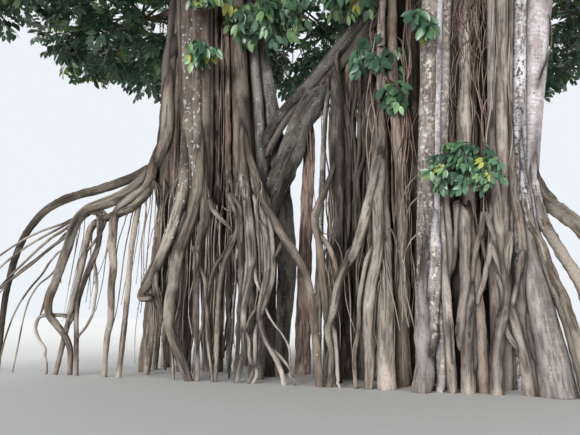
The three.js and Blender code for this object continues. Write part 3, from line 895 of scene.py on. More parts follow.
    def slimmed(self, limb: Limb, start: bool = True) -> Limb:
        """The same limb, thinned where an end stands above the ground.

        Args:
            limb: the limb.
            start: whether its start is thinned as well.

        Returns:
            The limb.
        """
        own, begin_thin, end_thin = limb.radius, 1.0, 1.0
        if start and limb.path.points[0][2] > self.level:
            joined = self.nearest(limb.path.points[0])[2] < self.joined
            begin_thin = self.joined_thin if joined else self.start_thin
        joined = self.nearest(limb.path.points[-1])[2] < self.joined
        if limb.path.points[-1][2] > self.level and not limb.blunt:
            end_thin = self.joined_thin if joined else self.end_thin
        first = min(0.3, self.tapers[0] / limb.path.length)
        last = min(0.3, self.tapers[not joined] / limb.path.length)

        def radius(t: Array) -> Array:
            """The radius with its slim ends."""
            size = own(t) * np.ones_like(t) * mix(begin_thin, 1.0, eased(t / first))
            return size * mix(end_thin, 1.0, eased((1 - t) / last))

        return limb if begin_thin == end_thin == 1.0 else replace(limb, radius=radius)


@dataclass
class CreaseShades:
    """Tells how near each corner lies to the limbs beside its own, which sets the painted shade in the
    joints.
    """

    limbs: Sequence[Limb]
    reach: float = 0.2  # how far off another limb still counts
    seam: Pair = (0.6, 0.018)  # depth and width of the painted shade line deep in a joint
    shade: Pair = (0.4, 0.075)  # depth and width of the wider painted shade beside it
    spines: list = field(default_factory=list)

    def __post_init__(self) -> None:
        """Reads the middle line of every limb and the box that counts as near it."""
        for limb in self.limbs:
            places, sizes = limb.spine()
            low = (places - sizes[:, None]).min(0) - self.reach
            high = (places + sizes[:, None]).max(0) + self.reach
            self.spines.append((limb, places, sizes, low, high))

    def read(self, limb: Limb, skin: Array) -> Array:
        """The painted crease shade at each corner.

        Args:
            limb: the limb that the corners belong to.
            skin: its corners.

        Returns:
            One in the joint between two limbs, zero in the open.
        """
        gap = np.full(len(skin), np.inf)
        least, most = skin.min(0), skin.max(0)
        for other, places, sizes, low, high in self.spines:
            if other is limb or np.any(most < low) or np.any(least > high):
                continue
            near = np.all((skin > low) & (skin < high), axis=1)
            if not near.any():
                continue
            steps = np.diff(places, axis=0)
            apart = skin[near][:, None, :] - places[None, :-1]
            share = np.clip((apart * steps).sum(-1) / np.maximum((steps**2).sum(-1), 1e-9), 0.0, 1.0)
            apart -= share[..., None] * steps
            width = mix(sizes[:-1], sizes[1:], share)
            gap[near] = np.minimum(gap[near], (np.sqrt((apart**2).sum(-1)) - width).min(1))
        gap = np.maximum(gap, 0.0)
        return limb.crease_shade_share * sum(depth * np.exp(-gap / wide) for depth, wide in (self.seam, self.shade))


class Joiner:
    """Joins many shells into one mesh with its finishes and attributes."""

    def __init__(self) -> None:
        """Starts with nothing."""
        self.skins: list[Array] = []
        self.grains: list[Array] = []
        self.crease_shades: list[Array] = []
        self.tones: list[Array] = []
        self.loops: list[Array] = []
        self.starts: list[Array] = []
        self.slots: list[Array] = []
        self.finishes: list[Finish] = []
        self.corners = 0
        self.loop_count = 0

    def number(self, finish: Finish) -> int:
        """The finish's number among the mesh's materials.

        Args:
            finish: the finish, which is added if it is new.

        Returns:
            Its number.
        """
        if finish not in self.finishes:
            self.finishes.append(finish)
        return self.finishes.index(finish)

    def add(self, skin: Array, grain: Array, crease: Array, tone: float, loops: Array, starts: Array,
            finish: Finish) -> None:
        """Adds a shell.

        Args:
            skin: its corners.
            grain: the grain at each corner.
            crease: the painted crease shade at each corner.
            tone: how far the shell is darkened, from 0 to 1.
            loops: the corner of each loop.
            starts: the first loop of each face.
            finish: its finish.
        """
        self.skins.append(skin)
        self.grains.append(grain)
        self.crease_shades.append(crease)
        self.tones.append(np.full(len(skin), tone))
        self.loops.append(loops + self.corners)
        self.starts.append(starts + self.loop_count)
        self.slots.append(np.full(len(starts), self.number(finish)))
        self.corners += len(skin)
        self.loop_count += len(loops)

    def piece(self, name: str, smooth: bool = True) -> Piece:
        """Makes the object.

        Args:
            name: the piece's name.
            smooth: whether its faces are shaded smooth.

        Returns:
            The object, at the origin.
        """
        mesh = bpy.data.meshes.new(name)
        skin = np.concatenate(self.skins)
        loops = np.concatenate(self.loops)
        starts = np.concatenate(self.starts)
        mesh.vertices.add(len(skin))
        mesh.vertices.foreach_set("co", skin.ravel().astype(np.float32))
        mesh.loops.add(len(loops))
        mesh.loops.foreach_set("vertex_index", loops.astype(np.int32))
        mesh.polygons.add(len(starts))
        mesh.polygons.foreach_set("loop_start", starts.astype(np.int32))
        for finish in self.finishes:
            mesh.materials.append(finish.slot())
        mesh.polygons.foreach_set("material_index", np.concatenate(self.slots).astype(np.int32))
        mesh.polygons.foreach_set("use_smooth", np.full(len(starts), smooth))
        grain = mesh.attributes.new("grain", "FLOAT_VECTOR", "POINT")
        grain.data.foreach_set("vector", np.concatenate(self.grains).ravel().astype(np.float32))
        # The first attribute holds the painted shade in the joints between limbs, the second each shell's
        # random tone.
        for title, values in (("crease", self.crease_shades), ("tone", self.tones)):
            layer = mesh.attributes.new(title, "FLOAT", "POINT")
            layer.data.foreach_set("value", np.concatenate(values).astype(np.float32))
        mesh.update(calc_edges=True)
        mesh.validate()
        return placed(name, mesh)


def cut_at_ground(piece: Piece) -> None:
    """Cuts a piece flat at ground level and closes each cut.

    Args:
        piece: the object, whose feet run on below the ground.
    """
    bm = bmesh.new()
    bm.from_mesh(piece.data)
    everything = [*bm.verts, *bm.edges, *bm.faces]
    bmesh.ops.bisect_plane(bm, geom=everything, dist=1e-5, plane_co=(0, 0, 0), plane_no=(0, 0, -1),
                           clear_outer=True)
    rim = [edge for edge in bm.edges if edge.is_boundary]
    bmesh.ops.holes_fill(bm, edges=rim, sides=0)
    bm.to_mesh(piece.data)
    bm.free()


def limb_piece(name: str, limbs: Sequence[Limb], crease_shades: CreaseShades) -> Piece:
    """Joins limbs into one piece, cut flat at the ground.

    Args:
        name: the piece's name.
        limbs: the limbs.
        crease_shades: the reader of the painted crease shade.

    Returns:
        The object.
    """
    joiner = Joiner()
    for number, limb in enumerate(limbs):
        skin, grain, tube = limb.skin()
        tone = 0.6 * (0.5 + 0.5 * math.sin(2.3 * number + len(limb.name)))
        joiner.add(skin, grain, crease_shades.read(limb, skin), tone, tube.loops, tube.starts, limb.finish)
        if limb.upper is not None:
            first = tube.loops[tube.starts]
            edge = limb.upper_share * (1 + 0.3 * np.sin(3 * tube.turn[first] + number))
            on_rib = limb.rings()[tube.ring[first]] < edge
            joiner.slots[-1] = np.where(on_rib, joiner.number(limb.upper), joiner.slots[-1])
    piece = joiner.piece(name)
    if min(s[:, 2].min() for s in joiner.skins) < 0:
        cut_at_ground(piece)
    return piece


def settled(piece: Piece, slot: str, *nodes: str) -> Piece:
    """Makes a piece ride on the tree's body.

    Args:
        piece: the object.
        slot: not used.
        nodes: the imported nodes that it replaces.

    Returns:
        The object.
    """
    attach(piece, "root")
    if nodes:
        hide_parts(*nodes)
    return piece


def report(name: str, pieces: Sequence[Piece]) -> None:
    """Logs a group of pieces with its count of triangles.

    Args:
        name: what the group is.
        pieces: its objects.
    """
    count = sum(len(p.data.loops) - 2 * len(p.data.polygons) for p in pieces)
    LOG.info("%s: %d pieces, %d triangles", name, len(pieces), count)


# The two trunks
def draped(x: float, z: float) -> Triple:
    """A place on the face that the hanging roots lie on, which leans back and turns away."""
    return (x, FACE_Y - FACE_TURN * (x - FACE_X) + FACE_SLOPE * z, z)


def route_path(route: Sequence[Sequence[float]]) -> Path:
    """A path through places that may lack their depth.

    Args:
        route: (x, y, z), or (x, z) for a place on the draped face; z 0 runs on below the ground.

    Returns:
        The path.
    """
    places = [tuple(p) if len(p) == 3 else draped(p[0], p[1]) for p in route]
    return Path.through([(x, y, -SUNK if z == 0 else z) for x, y, z in places])


@dataclass(frozen=True)
class Stem:
    """A stem from its foot to the fork: plan of foot and head, and the radius at each."""

    name: str
    foot: Pair
    head: Pair
    radius: Pair
    finish: Finish
    relief: Relief = PLAIN
    sides: int = 24
    # how much of the painted crease shade the stem takes in its joints
    crease_shade_share: float = 1.0
    waist: float = 0.0  # share of the radius lost at the waist
    waist_at: float = 0.35  # where the waist lies, as a share of the length
    waist_length: float = 0.3

    def path(self, low: float) -> Path:
        """The stem's line, leaning early.

        Args:
            low: height of its foot.

        Returns:
            The path.
        """
        plan = (mix(foot, head, LEAN) for foot, head in zip(self.foot, self.head))
        return Path.bent((*self.foot, low), (*plan, mix(low, FORK_Z, 0.5)), (*self.head, FORK_Z))

    def limb(self, low: float) -> Limb:
        """The stem as a limb.

        Args:
            low: height of its foot.

        Returns:
            The limb.
        """
        full = flared(*self.radius, low)

        def radius(t: Array) -> Array:
            """The flared radius, less the waist."""
            return full(t) * (1 - self.waist * np.exp(-(((t - self.waist_at) / self.waist_length) ** 2)))

        return Limb(self.name, self.path(low), radius, self.finish, self.relief, self.sides,
                    crease_shade_share=self.crease_shade_share)


@dataclass(frozen=True)
class Root:
    """A root or a free stem: its route, the radius at its start and end, and its finish."""

    name: str
    route: tuple
    radius: Pair
    finish: Finish = Finish.ROOT
    relief: Relief = PLAIN
    sides: int = 16
    blunt: float = 0.0
    like_carrier: float = 0.0  # how far its carrier's finish runs on down it, as a share of its length

    def limb(self) -> Limb:
        """Grows the root.

        Returns:
            The root as a limb, its rings closer together the slimmer it is.
        """
        spacing = float(np.clip(0.5 * self.radius[0], *RING_GAPS))
        return Limb(self.name, route_path(self.route), tapered(*self.radius), self.finish, self.relief,
                    self.sides, spacing, blunt=self.blunt, upper_share=self.like_carrier)


@dataclass(frozen=True)
class Rootlets:
    """Thin roots hung side by side over a patch of the tree's face."""

    name: str
    x: Pair
    top: Pair
    foot: Pair
    depth: Pair  # y at the ground and at the fork, or an offset from the draped face
    count: int
    radius: Pair = (0.006, 0.014)
    sway: float = 0.05
    slant: float = 0.0
    on_drape: bool = False
    finish: Finish = Finish.ROOTLET
    step: float = 0.35  # length between one bend and the next
    behind: float = 0.05  # how far one may hang behind another
    uneven: float = 0.012  # how far one wavers towards the back and front
    stout: float = 0.016  # radius of the slimmest with lobes

    def limbs(self) -> list[Limb]:
        """Sets the rootlets out from one side to the other.

        Returns:
            The rootlets as limbs.
        """
        rng = np.random.default_rng(name_seed(self.name))
        made = []
        for i in range(self.count):
            x = mix(*self.x, (i + rng.uniform(0, 1)) / self.count)
            top, foot = rng.uniform(*self.top), rng.uniform(*self.foot)
            knots = max(4, int((top - foot) / self.step))
            heights = np.linspace(top, foot, knots)
            walk = np.cumsum(rng.normal(0, self.sway, knots)) * 0.6 + rng.normal(0, 0.25 * self.sway, knots)
            walk += self.slant * (top - heights)
            xs = x + walk
            back = rng.uniform(0, self.behind)
            face = np.array([draped(a, b)[1] for a, b in zip(xs, heights)]) if self.on_drape else 0.0
            ys = face + mix(*self.depth, heights / FORK_Z) + back + rng.normal(0, self.uneven, knots)
            size = rng.uniform(*self.radius)
            route = [(a, b, 0.0 if c <= 0.01 else c) for a, b, c in zip(xs, ys, heights)]
            relief, sides = (FLUTED, 8) if size > self.stout else (SMOOTH, 5)
            made.append(Limb(f"{self.name}_{i}", route_path(route), threadlike(size), self.finish, relief,
                             sides, 0.09, crease_shade_share=0.4))
        return made


@dataclass
class Clump:
    """A clump of fused stems, with its roots and the rootlets that hang on it."""

    node: str = ""
    stems: tuple[Stem, ...] = ()
    roots: tuple[Root, ...] = ()
    rootlets: tuple[Rootlets, ...] = ()

    def build(self, limbs: Sequence[Limb], crease_shades: CreaseShades, hooks: Carriers) -> None:
        """Makes the clump's pieces.

        Args:
            limbs: its stems, then its roots.
            crease_shades: the reader of the painted crease shade.
            hooks: what the rootlets may hang on.
        """
        stems, roots = limbs[:len(self.stems)], limbs[len(self.stems):]
        piece = settled(limb_piece(f"{self.node}_stems", stems, crease_shades), "bark", self.node)
        report(self.node, [piece, settled(limb_piece(f"{self.node}_roots", roots, crease_shades), "bark")])
        hung = limb_piece(f"{self.node}_rootlets", hooks.hung(self.rootlets), crease_shades)
        report("rootlets", [settled(hung, "root_bark")])


@dataclass
class MainTrunk(Clump):
    """The right-hand clump: pale, red, tan and white stems fused round inner ones, and their roots."""

    node: str = "main_trunk"
    stems: tuple[Stem, ...] = (
        Stem("pale_left", (-0.96, -0.77), (-0.64, -0.74), (0.17, 0.14), Finish.PALE, SMOOTH, 32, 0.7),
        Stem("pale_ridge", (-0.905, -0.86), (-0.575, -0.83), (0.075, 0.052), Finish.RIDGE, SMOOTH, 20,
            0.15),
        Stem("pale_right", (-0.85, -0.74), (-0.5, -0.7), (0.15, 0.125), Finish.PALE, SMOOTH, 32, 0.7),
        Stem("red_core", (-0.43, -0.56), (-0.09, -0.52), (0.19, 0.12), Finish.RED, FLUTED, 32),
        Stem("red_left", (-0.52, -0.62), (-0.27, -0.6), (0.085, 0.055), Finish.DARK, KNOTTY),
        Stem("red_middle", (-0.46, -0.74), (-0.25, -0.67), (0.145, 0.08), Finish.TAN, KNOTTY, 28, 0.5),
        Stem("slim_a", (-0.19, -0.84), (0.115, -0.8), (0.07, 0.05), Finish.TAN, SMOOTH),
        Stem("slim_b", (-0.09, -0.86), (0.265, -0.76), (0.08, 0.088), Finish.TAN, SMOOTH),
        Stem("slim_c", (0.04, -0.82), (0.395, -0.76), (0.072, 0.036), Finish.TAN, SMOOTH),
        Stem("white_left", (0.12, -0.83), (0.52, -0.72), (0.12, 0.092), Finish.MOTTLED, SMOOTH, 28),
        Stem("white_right", (0.2, -0.76), (0.9, -0.56), (0.17, 0.19), Finish.WHITE, SMOOTH, 36, waist=0.42),
        Stem("dark_left", (-0.98, -0.2), (-0.76, 0.02), (0.15, 0.115), Finish.DARK, FLUTED),
        # Painted shade: core and core_left take the near-black recess bark, and core_right the dark bark,
        # for the hollow behind the front stems.
        Stem("core", (-0.06, 0.0), (0.06, 0.02), (0.66, 0.47), Finish.RECESS, FLUTED, 48),
        Stem("core_left", (-0.64, -0.46), (-0.4, -0.43), (0.38, 0.32), Finish.RECESS, FLUTED, 40),
        Stem("wall_left", (-0.7, -0.06), (-0.48, -0.04), (0.33, 0.27), Finish.DARK, FLUTED, 36),
        Stem("core_right", (0.19, -0.42), (0.45, -0.33), (0.4, 0.33), Finish.DARK, FLUTED, 40),
        Stem("left_back", (-0.66, 0.52), (-0.62, 0.6), (0.33, 0.25), Finish.BROWN, FLUTED, 40),
        Stem("right_back", (0.6, 0.33), (0.76, 0.42), (0.34, 0.25), Finish.PALE, FLUTED, 40),
        Stem("back", (0.06, 0.8), (0.16, 0.82), (0.35, 0.26), Finish.GREY, FLUTED, 40),
        Stem("back_seam", (0.36, 0.72), (0.48, 0.74), (0.15, 0.1), Finish.TAN, PLAIN),
        Stem("back_slim", (-0.33, 0.83), (-0.28, 0.8), (0.14, 0.09), Finish.BROWN, PLAIN),
        Stem("side_slim", (0.58, -0.08), (0.98, 0.02), (0.15, 0.1), Finish.TAN, PLAIN),
    )
    roots: tuple[Root, ...] = (
        Root("tan", ((-0.07, -0.82, 2.7), (-0.14, -1.09, 1.72), (-0.15, -1.19, 1.06), (-0.29, -1.23, 0.56),
            (-0.35, -1.27, 0)), (0.05, 0.078), Finish.TAN),
        Root("tan_fork", ((-0.15, -1.15, 1.15), (-0.06, -1.29, 0.6), (0.01, -1.35, 0)), (0.06, 0.08),
            Finish.TAN),
        Root("crossing", ((0.13, -0.85, 2.5), (0.09, -1.16, 1.6), (-0.01, -1.24, 1.08), (0.06, -1.39, 0)),
            (0.048, 0.06), Finish.TAN),
        Root("leg", ((0.0, -1.22, 1.05), (0.07, -1.37, 0.48), (0.19, -1.48, 0)), (0.052, 0.06), Finish.TAN),
        Root("buttress", ((0.32, -0.8, 2.5), (0.2, -1.07, 1.65), (0.18, -1.22, 1.2), (0.19, -1.32, 0.85),
            (0.255, -1.42, 0)), (0.04, 0.22), Finish.SMOOTH_PALE, SMOOTH, 28),
        Root("right_edge", ((0.36, -0.84, 2.2), (0.28, -1.19, 1.55), (0.32, -1.33, 1.15),
            (0.38, -1.44, 0.8), (0.5, -1.56, 0)), (0.03, 0.055), Finish.TAN),
        Root("side_inner", ((0.22, -0.98, 2.0), (0.215, -1.25, 1.79), (0.25, -1.36, 1.55),
            (0.28, -1.44, 1.3), (0.33, -1.51, 1.1), (0.42, -1.6, 0.6), (0.5, -1.66, 0)), (0.045, 0.055),
            Finish.ROOT, KNOTTY),
        Root("edge_vine", ((0.78, -0.7, 5.9), (0.73, -0.72, 5.3), (0.76, -0.73, 4.95), (0.81, -0.74, 4.73),
            (0.82, -0.75, 4.45), (0.76, -0.77, 4.2), (0.66, -0.79, 3.99), (0.55, -0.8, 3.7)),
            (0.014, 0.009), Finish.RED, KNOTTY, 8),
        Root("pleat_a", ((-0.56, -0.64, 2.6), (-0.51, -1.0, 1.3), (-0.6, -1.13, 0.5), (-0.64, -1.18, 0)),
            (0.062, 0.08), Finish.TAN, FLUTED),
        Root("pleat_b", ((-0.4, -0.64, 2.6), (-0.42, -1.0, 1.3), (-0.44, -1.12, 0)), (0.058, 0.075),
            Finish.RED, FLUTED),
        Root("pleat_c", ((-0.74, -0.82, 1.9), (-0.78, -1.03, 1.0), (-0.79, -1.13, 0)), (0.048, 0.062),
            Finish.TAN, FLUTED),
        Root("toe_left", ((-0.96, -0.82, 1.3), (-1.04, -0.98, 0.6), (-1.12, -1.08, 0)), (0.09, 0.11),
            Finish.SMOOTH_PALE, KNOTTY, 20),
    )
    rootlets: tuple[Rootlets, ...] = (
        Rootlets("recess", (-0.42, 0.04), (4.8, 5.95), (3.6, 4.6), (-0.82, -0.76), 36, (0.004, 0.01), 0.06,
            -0.1, step=0.17),
        Rootlets("recess_mesh", (-0.42, -0.12), (4.9, 5.98), (4.0, 4.7), (-0.86, -0.78), 40, (0.005, 0.011),
            0.08, -0.06, step=0.14),
        Rootlets("recess_long", (-0.2, 0.0), (3.9, 5.9), (0.0, 1.8), (-0.86, -0.72), 8, (0.005, 0.012),
            0.07, -0.06),
        Rootlets("recess_tangle", (-0.6, -0.46), (3.6, 4.6), (2.2, 3.4), (-0.84, -0.76), 13, (0.004, 0.008),
            0.05, -0.02, step=0.15),
        Rootlets("recess_knot", (-0.2, 0.02), (5.5, 5.95), (4.2, 5.0), (-0.9, -0.8), 16, (0.004, 0.009),
            0.09, -0.05, step=0.13),
        Rootlets("recess_dark", (-0.4, -0.15), (3.2, 4.4), (1.6, 2.6), (-0.8, -0.7), 8, (0.006, 0.014),
            slant=-0.06, finish=Finish.RED),
        Rootlets("pale_side", (-1.12, -0.92), (3.4, 5.9), (0.0, 1.5), (-0.6, -0.4), 14, sway=0.05,
            slant=-0.05),
        Rootlets("slim_side", (0.0, 0.28), (4.0, 5.9), (1.0, 2.6), (-0.92, -0.84), 8, (0.008, 0.016), 0.03,
            -0.09, finish=Finish.TAN),
        Rootlets("white_edge", (0.7, 0.92), (5.0, 5.95), (3.6, 4.4), (-0.75, -0.6), 3, (0.01, 0.014), 0.03,
            -0.09, finish=Finish.RED),
    )

    def limbs(self) -> list[Limb]:
        """The stems, then the roots fused to them."""
        return [stem.limb(-SUNK) for stem in self.stems] + [root.limb() for root in self.roots]


@dataclass
class LeftTrunk(Clump):
    """The left-hand clump on its skirt of roots."""

    node: str = "left_trunk"
    stems: tuple[Stem, ...] = (
        Stem("outer", (-4.54, 0.86), (-4.38, 0.9), (0.15, 0.078), Finish.BROWN, SMOOTH, 28),
        Stem("outer_inner", (-4.4, 0.84), (-4.36, 0.88), (0.1, 0.06), Finish.RED, FLUTED),
        Stem("front_left", (-4.05, 0.52), (-4.19, 0.56), (0.125, 0.14), Finish.SPECKLED, SMOOTH, 32, 0.25),
        Stem("front_middle", (-3.99, 0.515), (-4.1, 0.565), (0.12, 0.13), Finish.SPECKLED, SMOOTH, 32, 0.0),
        Stem("front_edge", (-4.12, 0.55), (-4.33, 0.6), (0.07, 0.085), Finish.BROWN, SMOOTH),
        Stem("front_right", (-3.89, 0.56), (-3.99, 0.61), (0.11, 0.115), Finish.BROWN, SMOOTH, 28, 0.5),
        Stem("front_fold", (-3.8, 0.58), (-3.89, 0.66), (0.055, 0.06), Finish.BROWN, SMOOTH),
        Stem("inner_red_a", (-3.7, 0.72), (-3.8, 0.72), (0.065, 0.045), Finish.RED, KNOTTY),
        Stem("inner_red_b", (-3.53, 0.7), (-3.63, 0.74), (0.06, 0.04), Finish.RED, KNOTTY),
        Stem("right", (-3.31, 0.76), (-3.49, 0.81), (0.165, 0.13), Finish.BROWN, SMOOTH, 30),
        Stem("grey", (-3.0, 0.9), (-3.31, 1.0), (0.125, 0.085), Finish.GREY, SMOOTH, 26),
        Stem("buttress", (-2.7, 1.05), (-3.27, 1.12), (0.18, 0.11), Finish.GREY, PLAIN, 30),
        # Painted shade: core and core_right take the near-black recess bark, and core_front and core_left
        # the dark bark, for the hollow behind the front stems.
        Stem("core", (-3.86, 1.18), (-3.9, 1.16), (0.56, 0.48), Finish.RECESS, FLUTED, 44),
        Stem("core_front", (-3.99, 0.74), (-4.06, 0.76), (0.21, 0.19), Finish.DARK, FLUTED, 28),
        Stem("core_left", (-4.5, 1.08), (-4.38, 1.04), (0.29, 0.22), Finish.DARK, FLUTED, 32),
        Stem("core_right", (-3.26, 1.18), (-3.48, 1.15), (0.36, 0.28), Finish.RECESS, FLUTED, 36),
        Stem("back", (-3.65, 1.85), (-3.72, 1.7), (0.32, 0.24), Finish.BROWN, FLUTED, 36),
        Stem("back_left", (-4.4, 1.56), (-4.32, 1.48), (0.28, 0.21), Finish.GREY, FLUTED, 32),
        Stem("back_right", (-3.06, 1.6), (-3.33, 1.48), (0.28, 0.19), Finish.BROWN, FLUTED, 32),
        Stem("back_slim", (-4.02, 1.82), (-4.03, 1.66), (0.14, 0.09), Finish.TAN, PLAIN),
    )
    roots: tuple[Root, ...] = (
        Root("curtain_a", ((-3.32, 0.56, 2.95), (-3.17, 2.2), (-3.11, 1.5), (-3.21, 0.85), (-3.19, 0.4),
            (-3.3, 0)), (0.078, 0.032), Finish.PALE_ROOT, FLUTED),
        Root("curtain_b", ((-3.19, 0.69, 2.95), (-2.95, 2.13), (-2.9, 1.45), (-2.99, 0.75), (-2.72, 0.2),
            (-2.66, 0)), (0.068, 0.03), Finish.PALE_ROOT, FLUTED),
        Root("curtain_c", ((-3.38, 0.56, 2.8), (-3.28, 2.11), (-3.25, 1.33), (-3.29, 0)), (0.06, 0.022)),
        Root("curtain_d", ((-3.42, 0.56, 2.7), (-3.3, 2.06), (-3.52, 1.45), (-3.56, 0)), (0.05, 0.024)),
        Root("short_leg", ((-3.86, 0.48, 2.78), (-3.82, 0.24, 2.15), (-3.89, 1.7), (-3.8, 0)),
            (0.07, 0.03)),
        Root("outer_foot", ((-4.55, 0.88, 3.0), (-4.55, 0.82, 2.35), (-4.61, 0.74, 1.5), (-4.59, 0.7, 0.8),
            (-4.66, 0.66, 0)), (0.085, 0.045), Finish.ROOT, KNOTTY),
        Root("buttress_foot", ((-2.8, 1.07, 3.0), (-2.7, 1.05, 2.4), (-2.65, 1.01, 1.5), (-2.71, 0.98, 0.6),
            (-2.74, 0.97, 0)), (0.165, 0.11), Finish.GREY, FLUTED, 22),
        # inner_a and inner_b take the dark bark, darker than the front roots as painted shade for where they
        # stand behind.
        Root("inner_a", ((-3.79, 1.2, 2.8), (-3.78, 1.15, 1.2), (-3.76, 1.12, 0)), (0.23, 0.15),
            Finish.DARK, FLUTED, 24),
        Root("inner_b", ((-4.19, 1.15, 2.8), (-4.23, 1.2, 1.2), (-4.21, 1.18, 0)), (0.17, 0.115),
            Finish.DARK, FLUTED, 24),
    )
    skirt_count: int = 9  # every other root is a slimmer one that only the scene shows
    skirt_turns: Pair = (10.0, 190.0)
    skirt_middle: Pair = (-3.83, 1.30)
    skirt_levels: tuple[Pair, ...] = ((0.42, 3.1), (0.70, 2.4), (0.88, 1.3), (0.98, 0.0))
    skirt_sizes: tuple[Pair, Pair] = ((0.15, 0.085), (0.09, 0.045))
    skirt_finishes: tuple[Finish, Finish] = (Finish.BROWN, Finish.ROOT)
    skirt_inset: float = 0.06  # how much nearer to the middle a slimmer root stands
    rootlets: tuple[Rootlets, ...] = (
        Rootlets("under_front", (-4.75, -2.95), (2.4, 2.75), (0.0, 1.9), (0.02, 0.02), 46, (0.006, 0.016),
            0.05, on_drape=True, finish=Finish.ROOT),
        # under_deep takes the dark bark as painted shade for the rootlets that hang behind the front ones.
        Rootlets("under_deep", (-4.6, -3.0), (2.5, 2.9), (0.0, 0.6), (0.42, 0.3), 34, (0.01, 0.026), 0.05,
            on_drape=True, finish=Finish.DARK),
        Rootlets("recess", (-3.84, -3.58), (4.6, 5.9), (2.3, 4.0), (0.58, 0.7), 14, (0.006, 0.014), 0.03),
        Rootlets("outer_gap", (-4.42, -4.3), (3.6, 5.6), (2.4, 2.9), (0.7, 0.84), 8, (0.006, 0.014), 0.02),
        Rootlets("under_back", (-4.9, -2.8), (2.3, 2.8), (0.0, 1.6), (2.2, 1.7), 30, (0.01, 0.03), 0.05,
            finish=Finish.ROOT),
    )

    def skirt(self) -> list[Root]:
        """Sets roots round the trunk's sides and back.

        Returns:
            The roots, stout and slim in turn.
        """
        made = []
        for i in range(self.skirt_count):
            turn = math.radians(mix(*self.skirt_turns, i / (self.skirt_count - 1)))
            slim = i % 2
            near = 1 - self.skirt_inset * slim
            route = tuple((self.skirt_middle[0] + out * near * math.cos(turn),
                           self.skirt_middle[1] + out * near * math.sin(turn), z)
                          for out, z in self.skirt_levels)
            size, finish = self.skirt_sizes[slim], self.skirt_finishes[slim]
            made.append(Root(f"skirt_{i}", route, size, finish, KNOTTY, 20))
        return made

    def limbs(self) -> list[Limb]:
        """The stems, then the roots that hang from them."""
        roots = [root.limb() for root in (*self.roots, *self.skirt())]
        return [stem.limb(SKIRT_Z) for stem in self.stems] + roots


